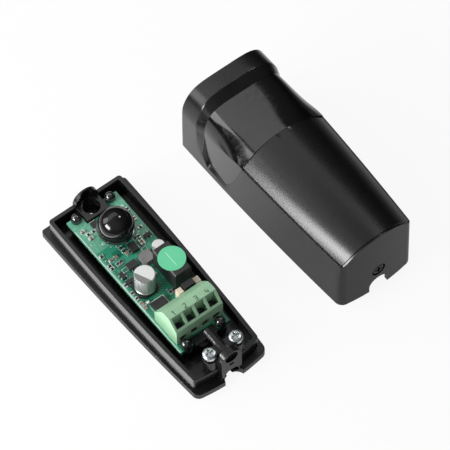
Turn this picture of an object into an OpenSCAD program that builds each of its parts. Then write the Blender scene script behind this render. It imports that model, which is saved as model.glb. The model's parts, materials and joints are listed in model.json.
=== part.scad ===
// Gate safety photocell, opened for wiring: the base with its circuit board lies on its back,
// and the cover stands beside it on its rim.
// The back face of the base lies on Z = 0, the lens end points to +Y and the cable end to -Y.
// The origin is the middle of the base's back face.

/* [Base plate] */
// Width of the back plate at the cable end
plate_cable_w = 32; // [31.6:0.2:34]
// Width of the back plate at the lens end
plate_lens_w = 38.8; // [38:0.2:42]
// How far each long side swells past a straight line
side_bow = 0.9; // [0.5:0.1:1.3]
// How far the cable end swells in its middle
end_bow = 1.1; // [0.7:0.1:1.5]
// Height of the back plate's rim
plate_h = 2.8; // [2.4:0.1:3.2]
// Corner radius of the back plate at the cable end
plate_corner_r = 3; // [2:0.5:4]
// Corner radius of the back plate at the lens end
lens_corner_r = 1.2; // [0.8:0.1:2]
// Thickness of the tray's floor
floor_t = 1.6; // [1.2:0.1:2]

/* [Base wall] */
// Height of the wall above the plate's rim
wall_h = 5.9; // [5.5:0.1:6.5]
// Thickness of the wall
wall_t = 1.5; // [1.2:0.1:1.8]
// Ledge outside the wall at the lens end
lens_ledge = 1.2; // [1.1:0.1:1.5]
// Ledge outside the wall at the cable end
cable_ledge = 3.4; // [3:0.1:3.8]
// Ledge beside the wall at the cable end
side_ledge_cable = 1.2; // [1.1:0.1:1.6]
// Ledge beside the wall at the lens end
side_ledge_lens = 2.8; // [2.6:0.1:3.4]
// Corner radius of the wall at the cable end
wall_corner_r = 1.6; // [1.2:0.1:2]

/* [Wall fixing] */
// Diameter of each fixing hole
fixing_d = 4.2; // [3.6:0.2:4.6]
// Radius of the screw well at the lens end
well_r = 3.4; // [3.2:0.1:3.6]
// Distance of the upper fixing hole from the outside of the lens-end wall
well_setback = 4.6; // [4.5:0.1:4.9]
// Distance of the lower fixing hole from the clamp posts
fixing_setback = 6.9; // [6.4:0.1:7.2]
// Radius of the half-round locating tab
tab_r = 5.25; // [4.6:0.1:5.6]
// Height of the tab's centre above the wall
tab_rise = 0.75; // [0.4:0.1:1.2]

/* [Circuit board] */
// Board width
board_w = 22.8; // [22.4:0.2:24]
// Board length, which sets the length of the base and the cover
board_len = 70.3; // [69.8:0.1:73]
// Room for the wires between the clamp posts and the board
wiring_gap = 10.8; // [10.4:0.1:13]
// Board thickness
board_t = 1.6; // [1.2:0.1:2]
// Height of the board's top face above the back face
board_top = 7.75; // [7.4:0.05:8.2]
// Gap between the board and the lens-end wall
board_end_gap = 2.9; // [2.6:0.1:3.2]
// Sideways distance of the fixing pins from the middle
pin_x = 7.8; // [7.7:0.1:8.1]
// Distance of the fixing pins from the board's ends
pin_inset = 1.3; // [1.2:0.1:1.4]
// Diameter of the fixing pins' shanks
pin_d = 1.8; // [1.4:0.1:1.8]
// Diameter of the domed pin heads
pin_head_d = 4.2; // [3.8:0.1:4.2]
// Height of the domed pin heads
pin_head_h = 3.3; // [2.8:0.1:3.6]

/* [Lens] */
// Radius of the domed lens
lens_r = 7; // [6.5:0.1:7.2]
// Height of the dome's centre above the board
lens_rise = 7.5; // [7:0.1:8.5]
// Distance of the lens from the board's lens end
lens_setback = 15.6; // [15:0.1:16.4]

/* [Terminal block] */
// Spacing of the terminals
pole_pitch = 5.08; // [5:0.02:5.16]
// Height of the terminal block
terminal_h = 12.9; // [12.6:0.1:13.6]
// Depth of the terminal block from front to back
terminal_depth = 13.6; // [13:0.1:13.8]
// Distance of the terminal's front from the board's cable end
terminal_setback = 3.5; // [3.5:0.1:3.6]
// How far a wire cage rises when its screw is tightened
cage_travel = 1.1; // [0.8:0.1:1.2]

/* [Cable clamp] */
// Distance between the two clamp screws
clamp_pitch = 11.84; // [11.8:0.1:12.6]
// Height of the clamp posts above the back face
post_top = 14.2; // [13.6:0.1:14.4]
// Radius of the clamp posts
post_r = 2.9; // [2.7:0.05:2.95]
// Distance of the clamp posts from the outside of the cable-end wall
post_setback = 3.3; // [3.2:0.1:3.6]
// Diameter of the clamp screws' heads
clamp_head_d = 5.4; // [5:0.1:5.6]
// Height that the clamp bar lifts when its screws are undone
clamp_travel = 3; // [2:0.5:3]

/* [Cover] */
// How far the cover's outline stands out past the plate
cover_overhang = 0.6; // [0.4:0.1:0.8]
// Wall thickness of the cover
cover_t = 1.6; // [1.4:0.1:1.8]
// Height of the cover's upright sides
side_h = 27.8; // [26:0.2:30]
// Rise of the cover's arched top above the sides
crown_h = 8.4; // [7:0.2:10]
// Height of the upright sides at the hood
hood_side_h = 22; // [21:0.2:24]
// Rise of the hood's arched top above its sides
hood_crown_h = 14.2; // [13:0.1:15]
// Length of the hood at the lens end
hood_len = 8.6; // [8:0.2:10]
// Length of the slope from the hood down to the window
hood_slope = 4.2; // [3.4:0.2:5]
// Length of the window along the top
window_len = 24.2; // [22:0.2:26]
// How deep the window lies under the hood's top
window_drop = 2.6; // [1.6:0.2:3.2]
// How deep the window lies under the hood's sides
window_tuck = 1.3; // [0.9:0.1:1.4]
// Lowest height of the window's side panes
window_sill = 4.6; // [4:0.2:8]
// Distance between the middle of the base and the middle of the cover
cover_gap_x = 66; // [60:0.5:75]
// How far the cover is stood back along the base
cover_shift_y = -0.7; // [-3:0.1:3]

/* [Hidden] */

overrun = 1;
cut_skin = 0.05;
seat_gap = 0.05;
bore_fn = 48;
round_fn = 64;

// Colours of the mouldings, the board and the metal parts
tray_colour = [0.05, 0.05, 0.055];
cover_colour = [0.035, 0.035, 0.04];
window_colour = [0.02, 0.015, 0.02];
board_colour = [0.05, 0.33, 0.2];
terminal_colour = [0.52, 0.78, 0.58];
steel_colour = [0.78, 0.8, 0.8];
brass_colour = [0.78, 0.66, 0.36];
chip_colour = [0.12, 0.12, 0.13];

// Length of the back plate along its middle, from what lies in a row on it
plate_len = cable_ledge + post_setback + wiring_gap + board_len + board_end_gap + wall_t + lens_ledge;

// Places along the base, from its ends inwards
plate_y0 = -plate_len / 2;
plate_y1 = plate_len / 2;
wall_y0 = plate_y0 + cable_ledge;
wall_y1 = plate_y1 - lens_ledge;
wall_cable_w = plate_cable_w - 2 * side_ledge_cable;
wall_lens_w = plate_lens_w - 2 * side_ledge_lens;
wall_top = plate_h + wall_h;
board_y1 = wall_y1 - wall_t - board_end_gap;
board_y0 = board_y1 - board_len;
board_under = board_top - board_t;
well_y = wall_y1 - well_setback;
post_y = wall_y0 + post_setback;
lower_fixing_y = post_y + fixing_setback;

// Outline helpers
outline_steps = 10;
corner_steps = 5;
end_steps = 6;

// Half width of a long outline that swells between its two ends
function half_width(y, y0, y1, w0, w1, bow) =
    let (s = (y - y0) / (y1 - y0)) w0 / 2 + (w1 - w0) / 2 * s + bow * 4 * s * (1 - s);

// Right half of an outline, from the cable end's middle round to the lens end
function half_outline(y0, y1, w0, w1, bow, swell, r0, r1) =
    let (
        low = y0 + swell + r0,
        high = y1 - r1,
        x_low = half_width(low, y0, y1, w0, w1, bow) - r0,
        x_high = half_width(high, y0, y1, w0, w1, bow) - r1
    )
    concat(
        [for (i = [0:end_steps - 1]) let (u = i / end_steps) [x_low * u, y0 + swell * u * u]],
        [for (i = [0:corner_steps])
            let (a = -90 + 90 * i / corner_steps) [x_low + r0 * cos(a), low + r0 * sin(a)]],
        [for (i = [1:outline_steps - 1])
            let (y = low + (high - low) * i / outline_steps)
            [half_width(y, y0, y1, w0, w1, bow), y]],
        [for (i = [0:corner_steps])
            let (a = 90 * i / corner_steps) [x_high + r1 * cos(a), high + r1 * sin(a)]]
    );

module outline(y0, y1, w0, w1, bow, swell, r0, r1) {
    right = half_outline(y0, y1, w0, w1, bow, swell, r0, r1);
    left = [for (i = [len(right) - 1:-1:1]) [-right[i][0], right[i][1]]];
    polygon(concat(right, left));
}

// A box given by its middle in X, its span in Y and its span in Z
module block(x, w, y0, y1, z0, z1) {
    translate([x - w / 2, y0, z0])
        cube([w, y1 - y0, z1 - z0]);
}

// An upright cylinder given by its centre and its span in Z
module post(x, y, r, z0, z1, fn = bore_fn) {
    translate([x, y, z0])
        cylinder(h = z1 - z0, r = r, $fn = fn);
}

// A cylinder along Y given by its centre and its span in Y
module rod_y(x, z, r, y0, y1, fn = bore_fn) {
    translate([x, y0, z])
        rotate([-90, 0, 0])
            cylinder(h = y1 - y0, r = r, $fn = fn);
}

// Base tray
platform_w = 10.2;
platform_top = wall_top;
platform_inner = 1.1;
platform_y0 = well_y - well_r - platform_inner;
low_platform_rise = 0.4;
low_platform_out = 1.1;
notch_clear = 0.3;
lens_notch_depth = board_y1 - platform_y0 + notch_clear;
low_notch_depth = 2.9;
pin_post_r = 2.4;
pin_bore_depth = 3.4;
tab_t = 1.9;
tab_dish_r = 3.9;
well_floor = 2.4;
seat_r = 3.6;
seat_h = 0.6;
notch_r = 4.2;
notch_out = 0.9;
notch_y = plate_y0 - notch_out;
tunnel_w = 6.8;
tunnel_top = 6.6;
lug_w = 9.2;
lug_r = lug_w / 2;
lug_t = 2.8;
lug_out = 2;
lug_y0 = wall_y0 - lug_out;
lug_y1 = lug_y0 + lug_t;
lug_centre_z = 13.8;
pilot_z = 15;
pilot_r = 1.15;
pilot_seat_r = 2.8;
pilot_seat_depth = 1.2;
slot_hole_z = 10.4;
slot_hole_r = 0.7;
slot_hole_w = 2.2;
post_web_w = 3.4;
post_web_drop = 1.6;
clamp_bore_r = 1.25;
clamp_bore_depth = 9.8;
rib_w = 1.2;
rib_top = board_under;

module base_tray() {
    color(tray_colour)
        difference() {
            union() {
                difference() {
                    linear_extrude(height = plate_h)
                        outline(plate_y0, plate_y1, plate_cable_w, plate_lens_w, side_bow, end_bow,
                            plate_corner_r, lens_corner_r);
                    translate([0, 0, floor_t])
                        linear_extrude(height = plate_h)
                            tray_inside();
                }
                translate([0, 0, plate_h - cut_skin])
                    linear_extrude(height = wall_h + cut_skin)
                        difference() {
                            tray_outside();
                            tray_inside();
                        }
                lens_end_platform();
                locating_tab();
                block(0, platform_w, board_y0 - low_platform_out, board_y0 + low_notch_depth - notch_clear,
                    floor_t - cut_skin, board_top + low_platform_rise);
                board_rests();
                clamp_posts();
                end_lug();
                post(0, lower_fixing_y, seat_r, floor_t - cut_skin, floor_t + seat_h);
            }
            post(0, well_y, well_r, well_floor, wall_top + tab_r * 2);
            post(0, well_y, tab_dish_r, wall_top, wall_top + tab_r * 2);
            for (y = [well_y, lower_fixing_y])
                post(0, y, fixing_d / 2, -overrun, well_floor + overrun);
            cable_notch();
            pin_bores();
            for (side = [-1, 1])
                post(side * clamp_pitch / 2, post_y, clamp_bore_r, post_top - clamp_bore_depth,
                    post_top + overrun);
            rod_y(0, pilot_z, pilot_r, lug_y0 - overrun, lug_y1 + overrun);
            rod_y(0, pilot_z, pilot_seat_r, lug_y0 - overrun, lug_y0 + pilot_seat_depth);
            for (side = [-1, 1])
                rod_y(side * (slot_hole_w / 2 - slot_hole_r), slot_hole_z, slot_hole_r,
                    lug_y0 - overrun, lug_y1 + overrun);
            block(0, slot_hole_w - 2 * slot_hole_r, lug_y0 - overrun, lug_y1 + overrun,
                slot_hole_z - slot_hole_r, slot_hole_z + slot_hole_r);
        }
}

module tray_outside() {
    outline(wall_y0, wall_y1, wall_cable_w, wall_lens_w, side_bow, end_bow, wall_corner_r,
        lens_corner_r);
}

module tray_inside() {
    outline(wall_y0 + wall_t, wall_y1 - wall_t, wall_cable_w - 2 * wall_t, wall_lens_w - 2 * wall_t,
        side_bow, end_bow, wall_corner_r / 2, lens_corner_r / 2);
}

// Raised seat between the lens-end pins that holds the upper screw well
module lens_end_platform() {
    block(0, platform_w, platform_y0, wall_y1 - wall_t + cut_skin,
        floor_t - cut_skin, platform_top);
}

// Half-round tab on the lens-end wall that locates the cover
module locating_tab() {
    intersection() {
        rod_y(0, wall_top + tab_rise, tab_r, wall_y1 - tab_t, wall_y1);
        block(0, 2 * tab_r, wall_y1 - tab_t, wall_y1, wall_top - wall_t, wall_top + 2 * tab_r);
    }
}

module board_rests() {
    for (side = [-1, 1])
        for (y = [board_y0 + pin_inset, board_y1 - pin_inset])
            post(side * pin_x, y, pin_post_r, floor_t - cut_skin, board_under);
    for (side = [-1, 1])
        block(side * (board_w / 2 - 2 * rib_w), rib_w, board_y0 + board_len / 3,
            board_y1 - board_len / 3, floor_t - cut_skin, rib_top);
}

module pin_bores() {
    for (side = [-1, 1])
        for (y = [board_y0 + pin_inset, board_y1 - pin_inset])
            post(side * pin_x, y, pin_d / 2 + seat_gap, board_under - pin_bore_depth,
                board_under + overrun);
}

module clamp_posts() {
    for (side = [-1, 1]) {
        post(side * clamp_pitch / 2, post_y, post_r, floor_t - cut_skin, post_top);
        block(side * clamp_pitch / 2, post_web_w, wall_y0 + wall_t / 2, post_y,
            floor_t - cut_skin, post_top - post_web_drop);
    }
}

// Arched lug on the cable-end wall that takes the cover screw
module end_lug() {
    block(0, lug_w, lug_y0, lug_y1, floor_t, lug_centre_z);
    rod_y(0, lug_centre_z, lug_r, lug_y0, lug_y1);
}

// Half-round cable notch in the plate and the arched way in under the lug
module cable_notch() {
    tunnel_y1 = lug_y1 + overrun;
    post(0, notch_y, notch_r, -overrun, plate_h + overrun);
    block(0, tunnel_w, notch_y, tunnel_y1, floor_t, tunnel_top - tunnel_w / 2);
    rod_y(0, tunnel_top - tunnel_w / 2, tunnel_w / 2, notch_y, tunnel_y1);
}

// Circuit board
module circuit_board() {
    color(board_colour)
        translate([0, 0, board_under])
            linear_extrude(height = board_t)
                difference() {
                    translate([-board_w / 2, board_y0])
                        square([board_w, board_len]);
                    translate([-platform_w / 2 - notch_clear, board_y1 - lens_notch_depth])
                        square([platform_w + 2 * notch_clear, lens_notch_depth + overrun]);
                    translate([-platform_w / 2 - notch_clear, board_y0 - overrun])
                        square([platform_w + 2 * notch_clear, low_notch_depth + overrun]);
                    for (side = [-1, 1])
                        for (y = [board_y0 + pin_inset, board_y1 - pin_inset])
                            translate([side * pin_x, y])
                                circle(r = pin_d / 2 + seat_gap, $fn = bore_fn);
                }
}

// Domed push pins that hold the board down
pin_shank_share = 0.9;

module board_pins() {
    head_r = pin_head_d / 2;
    color(tray_colour)
        for (side = [-1, 1])
            for (y = [board_y0 + pin_inset, board_y1 - pin_inset])
                translate([side * pin_x, y, board_top]) {
                    rotate_extrude($fn = round_fn)
                        polygon(concat(
                            [[0, 0], [head_r, 0]],
                            [for (i = [0:corner_steps + 1])
                                let (a = 90 * i / (corner_steps + 1))
                                [head_r * cos(a), pin_head_h - head_r + head_r * sin(a)]]
                        ));
                    translate([0, 0, -board_t - pin_bore_depth * pin_shank_share])
                        cylinder(h = board_t + pin_bore_depth * pin_shank_share + cut_skin,
                            r = pin_d / 2, $fn = bore_fn);
                }
}

// Lens, its holder and the detector inside it
lens_x = 0.3;
lens_y = board_y1 - lens_setback;
lens_z = board_top + lens_rise;
lens_skirt = 1.1;
lens_wall = 1.3;
holder_lip = 0.3;
holder_top_r = lens_r + holder_lip;
holder_foot_r = 4.4;
holder_ring_h = 1.6;
holder_bore_r = 3.2;
detector_w = 4.2;
detector_h = 5;
detector_dome_r = 1.6;

module lens_dome() {
    inner = lens_r - lens_wall;
    color(window_colour)
        translate([lens_x, lens_y, lens_z])
            rotate_extrude($fn = round_fn)
                polygon(concat(
                    [for (i = [0:outline_steps]) let (a = 90 * i / outline_steps)
                        [lens_r * cos(a), lens_r * sin(a)]],
                    [for (i = [outline_steps:-1:0]) let (a = 90 * i / outline_steps)
                        [inner * cos(a), inner * sin(a)]],
                    [[inner, -lens_skirt], [lens_r, -lens_skirt]]
                ));
}

module lens_holder() {
    ring_top = lens_rise - lens_skirt;
    color(tray_colour)
        translate([lens_x, lens_y, board_top])
            rotate_extrude($fn = round_fn)
                polygon([
                    [holder_bore_r, 0],
                    [holder_foot_r, 0],
                    [holder_foot_r, ring_top / 3],
                    [holder_top_r, ring_top - holder_ring_h],
                    [holder_top_r, ring_top],
                    [holder_bore_r, ring_top]
                ]);
}

module infrared_detector() {
    color(window_colour)
        translate([lens_x, lens_y, board_top]) {
            translate([-detector_w / 2, -detector_w / 2, 0])
                cube([detector_w, detector_w, detector_h]);
            translate([0, 0, detector_h])
                sphere(r = detector_dome_r, $fn = bore_fn);
        }
}

// Terminal block with four rising wire cages
poles = 4;
end_wall = 0.44;
terminal_x = 0.3;
terminal_w = poles * pole_pitch + 2 * end_wall;
terminal_y0 = board_y0 + terminal_setback;
front_h_share = 0.66;
crest_share = 0.31;
crown_share = 0.5;
ridge_share = 0.66;
ridge_h_share = 0.94;
back_h_share = 0.44;
chamber_w = 3.9;
chamber_z0 = 0.55;
chamber_y0 = 0.4;
chamber_len = 4;
ledge_t = 0.6;
shaft_w = 4.1;
shaft_y0 = 0.75;
shaft_len = 3.3;
wire_w = 3.2;
wire_h = 2.9;
wire_z0 = 1.1;
screw_y = chamber_y0 + chamber_len / 2;
screw_head_r = 1.5;
screw_head_h = 1.1;
screw_slot_w = 0.5;
screw_slot_h = 0.5;
screw_r = 1;
cage_w = 3.5;
cage_len = 3.7;
cage_h = 4;
cage_wall = 0.62;
cage_top_t = 0.7;
cage_z0 = 0.65;
chamber_h = cage_z0 - chamber_z0 + cage_h + cage_travel + seat_gap;
shaft_z0 = chamber_z0 + chamber_h + ledge_t;
strip_w = 2;
strip_t = 0.7;
strip_gap = 0.1;
tail_w = 1;

function pole_x(i) = terminal_x + (i - (poles - 1) / 2) * pole_pitch;

module terminal_profile() {
    polygon([
        [0, 0],
        [0, terminal_h * front_h_share],
        [terminal_depth * crest_share, terminal_h],
        [terminal_depth * crown_share, terminal_h],
        [terminal_depth * ridge_share, terminal_h * ridge_h_share],
        [terminal_depth, terminal_h * back_h_share],
        [terminal_depth, 0]
    ]);
}

module terminal_housing() {
    ledge_z = chamber_z0 + chamber_h;
    color(terminal_colour)
        translate([0, terminal_y0, board_top])
            difference() {
                translate([terminal_x - terminal_w / 2, 0, 0])
                    rotate([90, 0, 90])
                        linear_extrude(height = terminal_w)
                            terminal_profile();
                for (i = [0:poles - 1]) {
                    block(pole_x(i), chamber_w, chamber_y0, chamber_y0 + chamber_len, chamber_z0, ledge_z);
                    block(pole_x(i), wire_w, -overrun, chamber_y0 + overrun, wire_z0, wire_z0 + wire_h);
                    post(pole_x(i), screw_y, screw_r + 2 * seat_gap, ledge_z - overrun, shaft_z0 + overrun);
                    block(pole_x(i), shaft_w, shaft_y0, shaft_y0 + shaft_len, shaft_z0,
                        terminal_h + overrun);
                    block(pole_x(i), strip_w + 2 * seat_gap, chamber_y0 + chamber_len - overrun,
                        chamber_y0 + chamber_len + tail_w + seat_gap, strip_z0 - seat_gap,
                        strip_z0 + strip_t + seat_gap);
                    block(pole_x(i), tail_w + 2 * seat_gap, chamber_y0 + chamber_len - seat_gap,
                        chamber_y0 + chamber_len + tail_w + seat_gap, -overrun, strip_z0 + overrun);
                }
            }
}

strip_z0 = cage_z0 + cage_h - cage_top_t - strip_gap - strip_t;

module terminal_contacts() {
    color(brass_colour)
        translate([0, terminal_y0, board_top])
            for (i = [0:poles - 1]) {
                block(pole_x(i), strip_w, chamber_y0 + chamber_len / 2 - cage_len / 2,
                    chamber_y0 + chamber_len + tail_w, strip_z0, strip_z0 + strip_t);
                block(pole_x(i), tail_w, chamber_y0 + chamber_len, chamber_y0 + chamber_len + tail_w,
                    0, strip_z0 + cut_skin);
            }
}

module terminal_screw(i) {
    head_z = shaft_z0 + seat_gap;
    tip_z = strip_z0 + strip_t + seat_gap;
    color(steel_colour)
        translate([pole_x(i), terminal_y0 + screw_y, board_top])
            difference() {
                union() {
                    translate([0, 0, head_z])
                        cylinder(h = screw_head_h, r = screw_head_r, $fn = bore_fn);
                    translate([0, 0, tip_z])
                        cylinder(h = head_z + seat_gap - tip_z, r = screw_r, $fn = bore_fn);
                }
                translate([-screw_head_r - overrun, -screw_slot_w / 2,
                        head_z + screw_head_h - screw_slot_h])
                    cube([2 * screw_head_r + 2 * overrun, screw_slot_w, screw_slot_h + overrun]);
            }
}

module terminal_cage(i) {
    color(steel_colour)
        translate([pole_x(i), terminal_y0 + screw_y, board_top + cage_z0])
            difference() {
                translate([-cage_w / 2, -cage_len / 2, 0])
                    cube([cage_w, cage_len, cage_h]);
                translate([-cage_w / 2 + cage_wall, -cage_len / 2 - overrun, cage_wall])
                    cube([cage_w - 2 * cage_wall, cage_len + 2 * overrun, cage_h - cage_wall - cage_top_t]);
                translate([0, 0, cage_h - cage_top_t - overrun])
                    cylinder(h = cage_top_t + 2 * overrun, r = screw_r + seat_gap, $fn = bore_fn);
            }
}

// Relay and its round sticker
relay_x = 7;
relay_from_end = 29.2;
relay_y = board_y0 + relay_from_end;
relay_w = 7.3;
relay_len = 14;
relay_h = 10.1;
relay_edge = 0.5;
sticker_r = 5.3;
sticker_t = 0.12;

module relay() {
    color(chip_colour)
        translate([relay_x, relay_y, board_top])
            rotate([90, 0, 0])
                translate([0, 0, -relay_len / 2])
                    linear_extrude(height = relay_len)
                        polygon([
                            [-relay_w / 2, 0],
                            [relay_w / 2, 0],
                            [relay_w / 2, relay_h - relay_edge],
                            [relay_w / 2 - relay_edge, relay_h],
                            [-relay_w / 2 + relay_edge, relay_h],
                            [-relay_w / 2, relay_h - relay_edge]
                        ]);
}

module relay_sticker() {
    color([0.3, 0.78, 0.55])
        post(relay_x, relay_y, sticker_r, board_top + relay_h, board_top + relay_h + sticker_t);
}

// Electrolytic capacitors on their square feet
module can_capacitor(x, y, r, foot_h, h) {
    roll = r * can_roll_share;
    translate([x, y, board_top + foot_h])
        rotate_extrude($fn = round_fn)
            polygon([
                [0, 0],
                [r - roll, 0],
                [r, roll],
                [r, 2.5 * roll],
                [r - roll / 2, 3 * roll],
                [r - roll / 2, 3.5 * roll],
                [r, 4 * roll],
                [r, h - foot_h - roll],
                [r - roll, h - foot_h],
                [0, h - foot_h]
            ]);
}

module capacitor_foot(x, y, w, h) {
    cut = w / 5;
    translate([x, y, board_top])
        linear_extrude(height = h)
            polygon([
                [-w / 2, -w / 2 + cut],
                [-w / 2 + cut, -w / 2],
                [w / 2 - cut, -w / 2],
                [w / 2, -w / 2 + cut],
                [w / 2, w / 2],
                [-w / 2, w / 2]
            ]);
}

can_roll_share = 0.08;
main_can_x = -4.9;
main_can_from_end = 30;
main_can_y = board_y0 + main_can_from_end;
main_can_r = 4;
main_can_h = 10.2;
main_foot_w = 8.3;
main_foot_h = 1;
small_can_x = 8.2;
small_can_from_end = 39.2;
small_can_y = board_y0 + small_can_from_end;
small_can_r = 2.45;
small_can_h = 5.4;
small_foot_w = 5.2;
small_foot_h = 0.6;

module main_capacitor() {
    color([0.85, 0.86, 0.86])
        can_capacitor(main_can_x, main_can_y, main_can_r, main_foot_h, main_can_h);
}

module main_capacitor_foot() {
    color(chip_colour)
        capacitor_foot(main_can_x, main_can_y, main_foot_w, main_foot_h);
}

module small_capacitor() {
    color([0.85, 0.86, 0.86])
        can_capacitor(small_can_x, small_can_y, small_can_r, small_foot_h, small_can_h);
}

module small_capacitor_foot() {
    color(chip_colour)
        capacitor_foot(small_can_x, small_can_y, small_foot_w, small_foot_h);
}

// Shielded inductor with cut corners
inductor_x = 2.6;
inductor_from_end = 39.3;
inductor_y = board_y0 + inductor_from_end;
inductor_w = 5;
inductor_cut = 1;
inductor_h = 2.9;

module power_inductor() {
    half = inductor_w / 2;
    color([0.5, 0.5, 0.5])
        translate([inductor_x, inductor_y, board_top])
            linear_extrude(height = inductor_h)
                polygon([
                    [-half, -half + inductor_cut],
                    [-half + inductor_cut, -half],
                    [half - inductor_cut, -half],
                    [half, -half + inductor_cut],
                    [half, half - inductor_cut],
                    [half - inductor_cut, half],
                    [-half + inductor_cut, half],
                    [-half, half - inductor_cut]
                ]);
}

// Small surface-mounted parts. A package has its width, length and height. Its places are shares of
// half the board's width and of the board's length, and a 1 as the third number turns it a quarter
driver_size = [5.4, 3.4, 1.5];
driver_place_shares = [[-0.44, 0.3, 0]];
regulator_size = [4, 3, 1.5];
regulator_place_shares = [[-0.28, 0.575, 0], [0.15, 0.66, 1]];
amplifier_size = [2.6, 2.6, 0.9];
amplifier_place_shares = [[-0.32, 0.9, 0]];
transistor_size = [2.9, 1.6, 1.1];
transistor_place_shares = [[-0.76, 0.555, 1], [0.8, 0.675, 0], [-0.7, 0.505, 0]];
resistor_size = [1.6, 0.8, 0.5];
resistor_place_shares = [
    [-0.86, 0.625, 0], [-0.86, 0.648, 0], [-0.6, 0.63, 1], [-0.46, 0.63, 1], [-0.16, 0.7, 0],
    [-0.16, 0.675, 0], [0.42, 0.7, 1], [0.56, 0.7, 1], [0.8, 0.74, 0], [0.12, 0.325, 1],
    [0.235, 0.325, 1], [-0.89, 0.4, 1], [-0.89, 0.44, 1], [-0.89, 0.5, 1], [-0.86, 0.72, 0],
    [0.88, 0.87, 1], [-0.7, 0.87, 0], [-0.5, 0.87, 0]
];
chip_capacitor_size = [1.6, 0.9, 0.8];
chip_capacitor_place_shares = [
    [-0.7, 0.67, 0], [-0.5, 0.67, 1], [-0.12, 0.65, 1], [0.5, 0.65, 0], [0.5, 0.67, 0],
    [-0.89, 0.36, 1], [0.1, 0.46, 0], [0.1, 0.5, 0], [-0.72, 0.84, 0], [-0.8, 0.9, 0],
    [0.86, 0.8, 1], [-0.89, 0.33, 1]
];
led_size = [1.6, 0.9, 0.8];
led_place_shares = [[-0.72, 0.345, 0]];

module chips(size, place_shares) {
    for (place = place_shares) {
        w = place[2] == 1 ? size[1] : size[0];
        len = place[2] == 1 ? size[0] : size[1];
        y = board_y0 + place[1] * board_len;
        block(place[0] * board_w / 2, w, y - len / 2, y + len / 2, board_top, board_top + size[2]);
    }
}

module black_chips() {
    color(chip_colour) {
        chips(driver_size, driver_place_shares);
        chips(regulator_size, regulator_place_shares);
        chips(amplifier_size, amplifier_place_shares);
        chips(transistor_size, transistor_place_shares);
    }
}

module chip_resistors() {
    color(chip_colour)
        chips(resistor_size, resistor_place_shares);
}

module chip_capacitors() {
    color([0.62, 0.5, 0.38])
        chips(chip_capacitor_size, chip_capacitor_place_shares);
}

module status_led() {
    color([0.9, 0.9, 0.85])
        chips(led_size, led_place_shares);
}

// Pin header with its pull-off jumper cap
header_x = 6.6;
header_from_end = 18.9;
header_y = board_y0 + header_from_end;
header_pitch = 2.54;
header_ways = 4;
header_w = header_ways * header_pitch;
header_d = 2.5;
header_base_h = 2.5;
header_ear_h = 5;
header_ear_w = 2.3;
header_pin_w = 0.64;
header_pin_top = 5.9;
jumper_w = 4.6;
jumper_h = 3.8;

module header_body() {
    color([0.9, 0.88, 0.78])
        translate([header_x, header_y - header_d / 2, board_top])
            difference() {
                union() {
                    block(0, header_w, 0, header_d, 0, header_base_h);
                    for (side = [-1, 1])
                        block(side * (header_w - header_ear_w) / 2, header_ear_w, 0, header_d, 0,
                            header_ear_h);
                }
                for (side = [-1, 1])
                    block(side * header_pitch / 2, header_pin_w + 2 * seat_gap,
                        (header_d - header_pin_w) / 2 - seat_gap,
                        (header_d + header_pin_w) / 2 + seat_gap, -overrun, header_base_h + overrun);
            }
}

module header_pins() {
    color(brass_colour)
        translate([header_x, header_y, board_top])
            for (side = [-1, 1])
                block(side * header_pitch / 2, header_pin_w, -header_pin_w / 2, header_pin_w / 2,
                    0, header_pin_top);
}

module jumper_cap() {
    z0 = header_base_h + 2 * seat_gap;
    color(chip_colour)
        translate([header_x, header_y - header_d / 2, board_top])
            difference() {
                block(0, jumper_w, 0, header_d, z0, z0 + jumper_h);
                for (side = [-1, 1])
                    block(side * header_pitch / 2, header_pin_w + 2 * seat_gap,
                        (header_d - header_pin_w) / 2 - seat_gap,
                        (header_d + header_pin_w) / 2 + seat_gap, z0 - overrun,
                        header_pin_top + 2 * seat_gap);
            }
}

// Cable clamp: two ears on the posts, a pad between them and a tongue that runs inboard
ear_r = 2.4;
ear_t = 1.3;
ear_gap = 0.1;
clamp_hole_r = 1.6;
pad_w = 5.4;
pad_bottom = 7.4;
pad_out = 1.5;
pad_len = 4.3;
pad_y0 = post_y - pad_out;
pad_y1 = pad_y0 + pad_len;
ridge_r = 2.3;
ridge_rise = 2;
tongue_w = 3.6;
tongue_len = 6.8;
tongue_y1 = pad_y1 + tongue_len;
tongue_ridge_r = 1.9;
tongue_drop = 0.3;
tongue_t = 2.4;
clamp_crest = post_top + ridge_rise;

module cable_clamp() {
    ear_z = post_top + ear_gap;
    color(tray_colour)
        difference() {
            union() {
                for (side = [-1, 1])
                    post(side * clamp_pitch / 2, post_y, ear_r, ear_z, ear_z + ear_t);
                block(0, clamp_pitch, pad_y0, post_y + ear_r, ear_z, ear_z + ear_t);
                block(0, pad_w, pad_y0, pad_y1, pad_bottom, ear_z + cut_skin);
                intersection() {
                    rod_y(0, clamp_crest - ridge_r, ridge_r, pad_y0, pad_y1);
                    block(0, clamp_pitch, pad_y0, pad_y1, ear_z, clamp_crest + overrun);
                }
                intersection() {
                    rod_y(0, clamp_crest - tongue_drop - tongue_ridge_r, tongue_ridge_r,
                        pad_y1 - cut_skin, tongue_y1);
                    block(0, tongue_w, pad_y1 - cut_skin, tongue_y1,
                        clamp_crest - tongue_drop - tongue_t, clamp_crest);
                }
            }
            for (side = [-1, 1])
                post(side * clamp_pitch / 2, post_y, clamp_hole_r, ear_z - overrun, ear_z + ear_t + overrun);
        }
}

// Pan-head screws of the cable clamp
clamp_head_h = 1.9;
clamp_dome_share = 0.45;
clamp_shank_r = 1.2;
clamp_shank_left = 4.1;
clamp_shank_len = clamp_shank_left + clamp_travel + ear_gap + ear_t;
cross_w = 0.8;
cross_len = 3.2;
cross_depth = 1.2;

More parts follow.
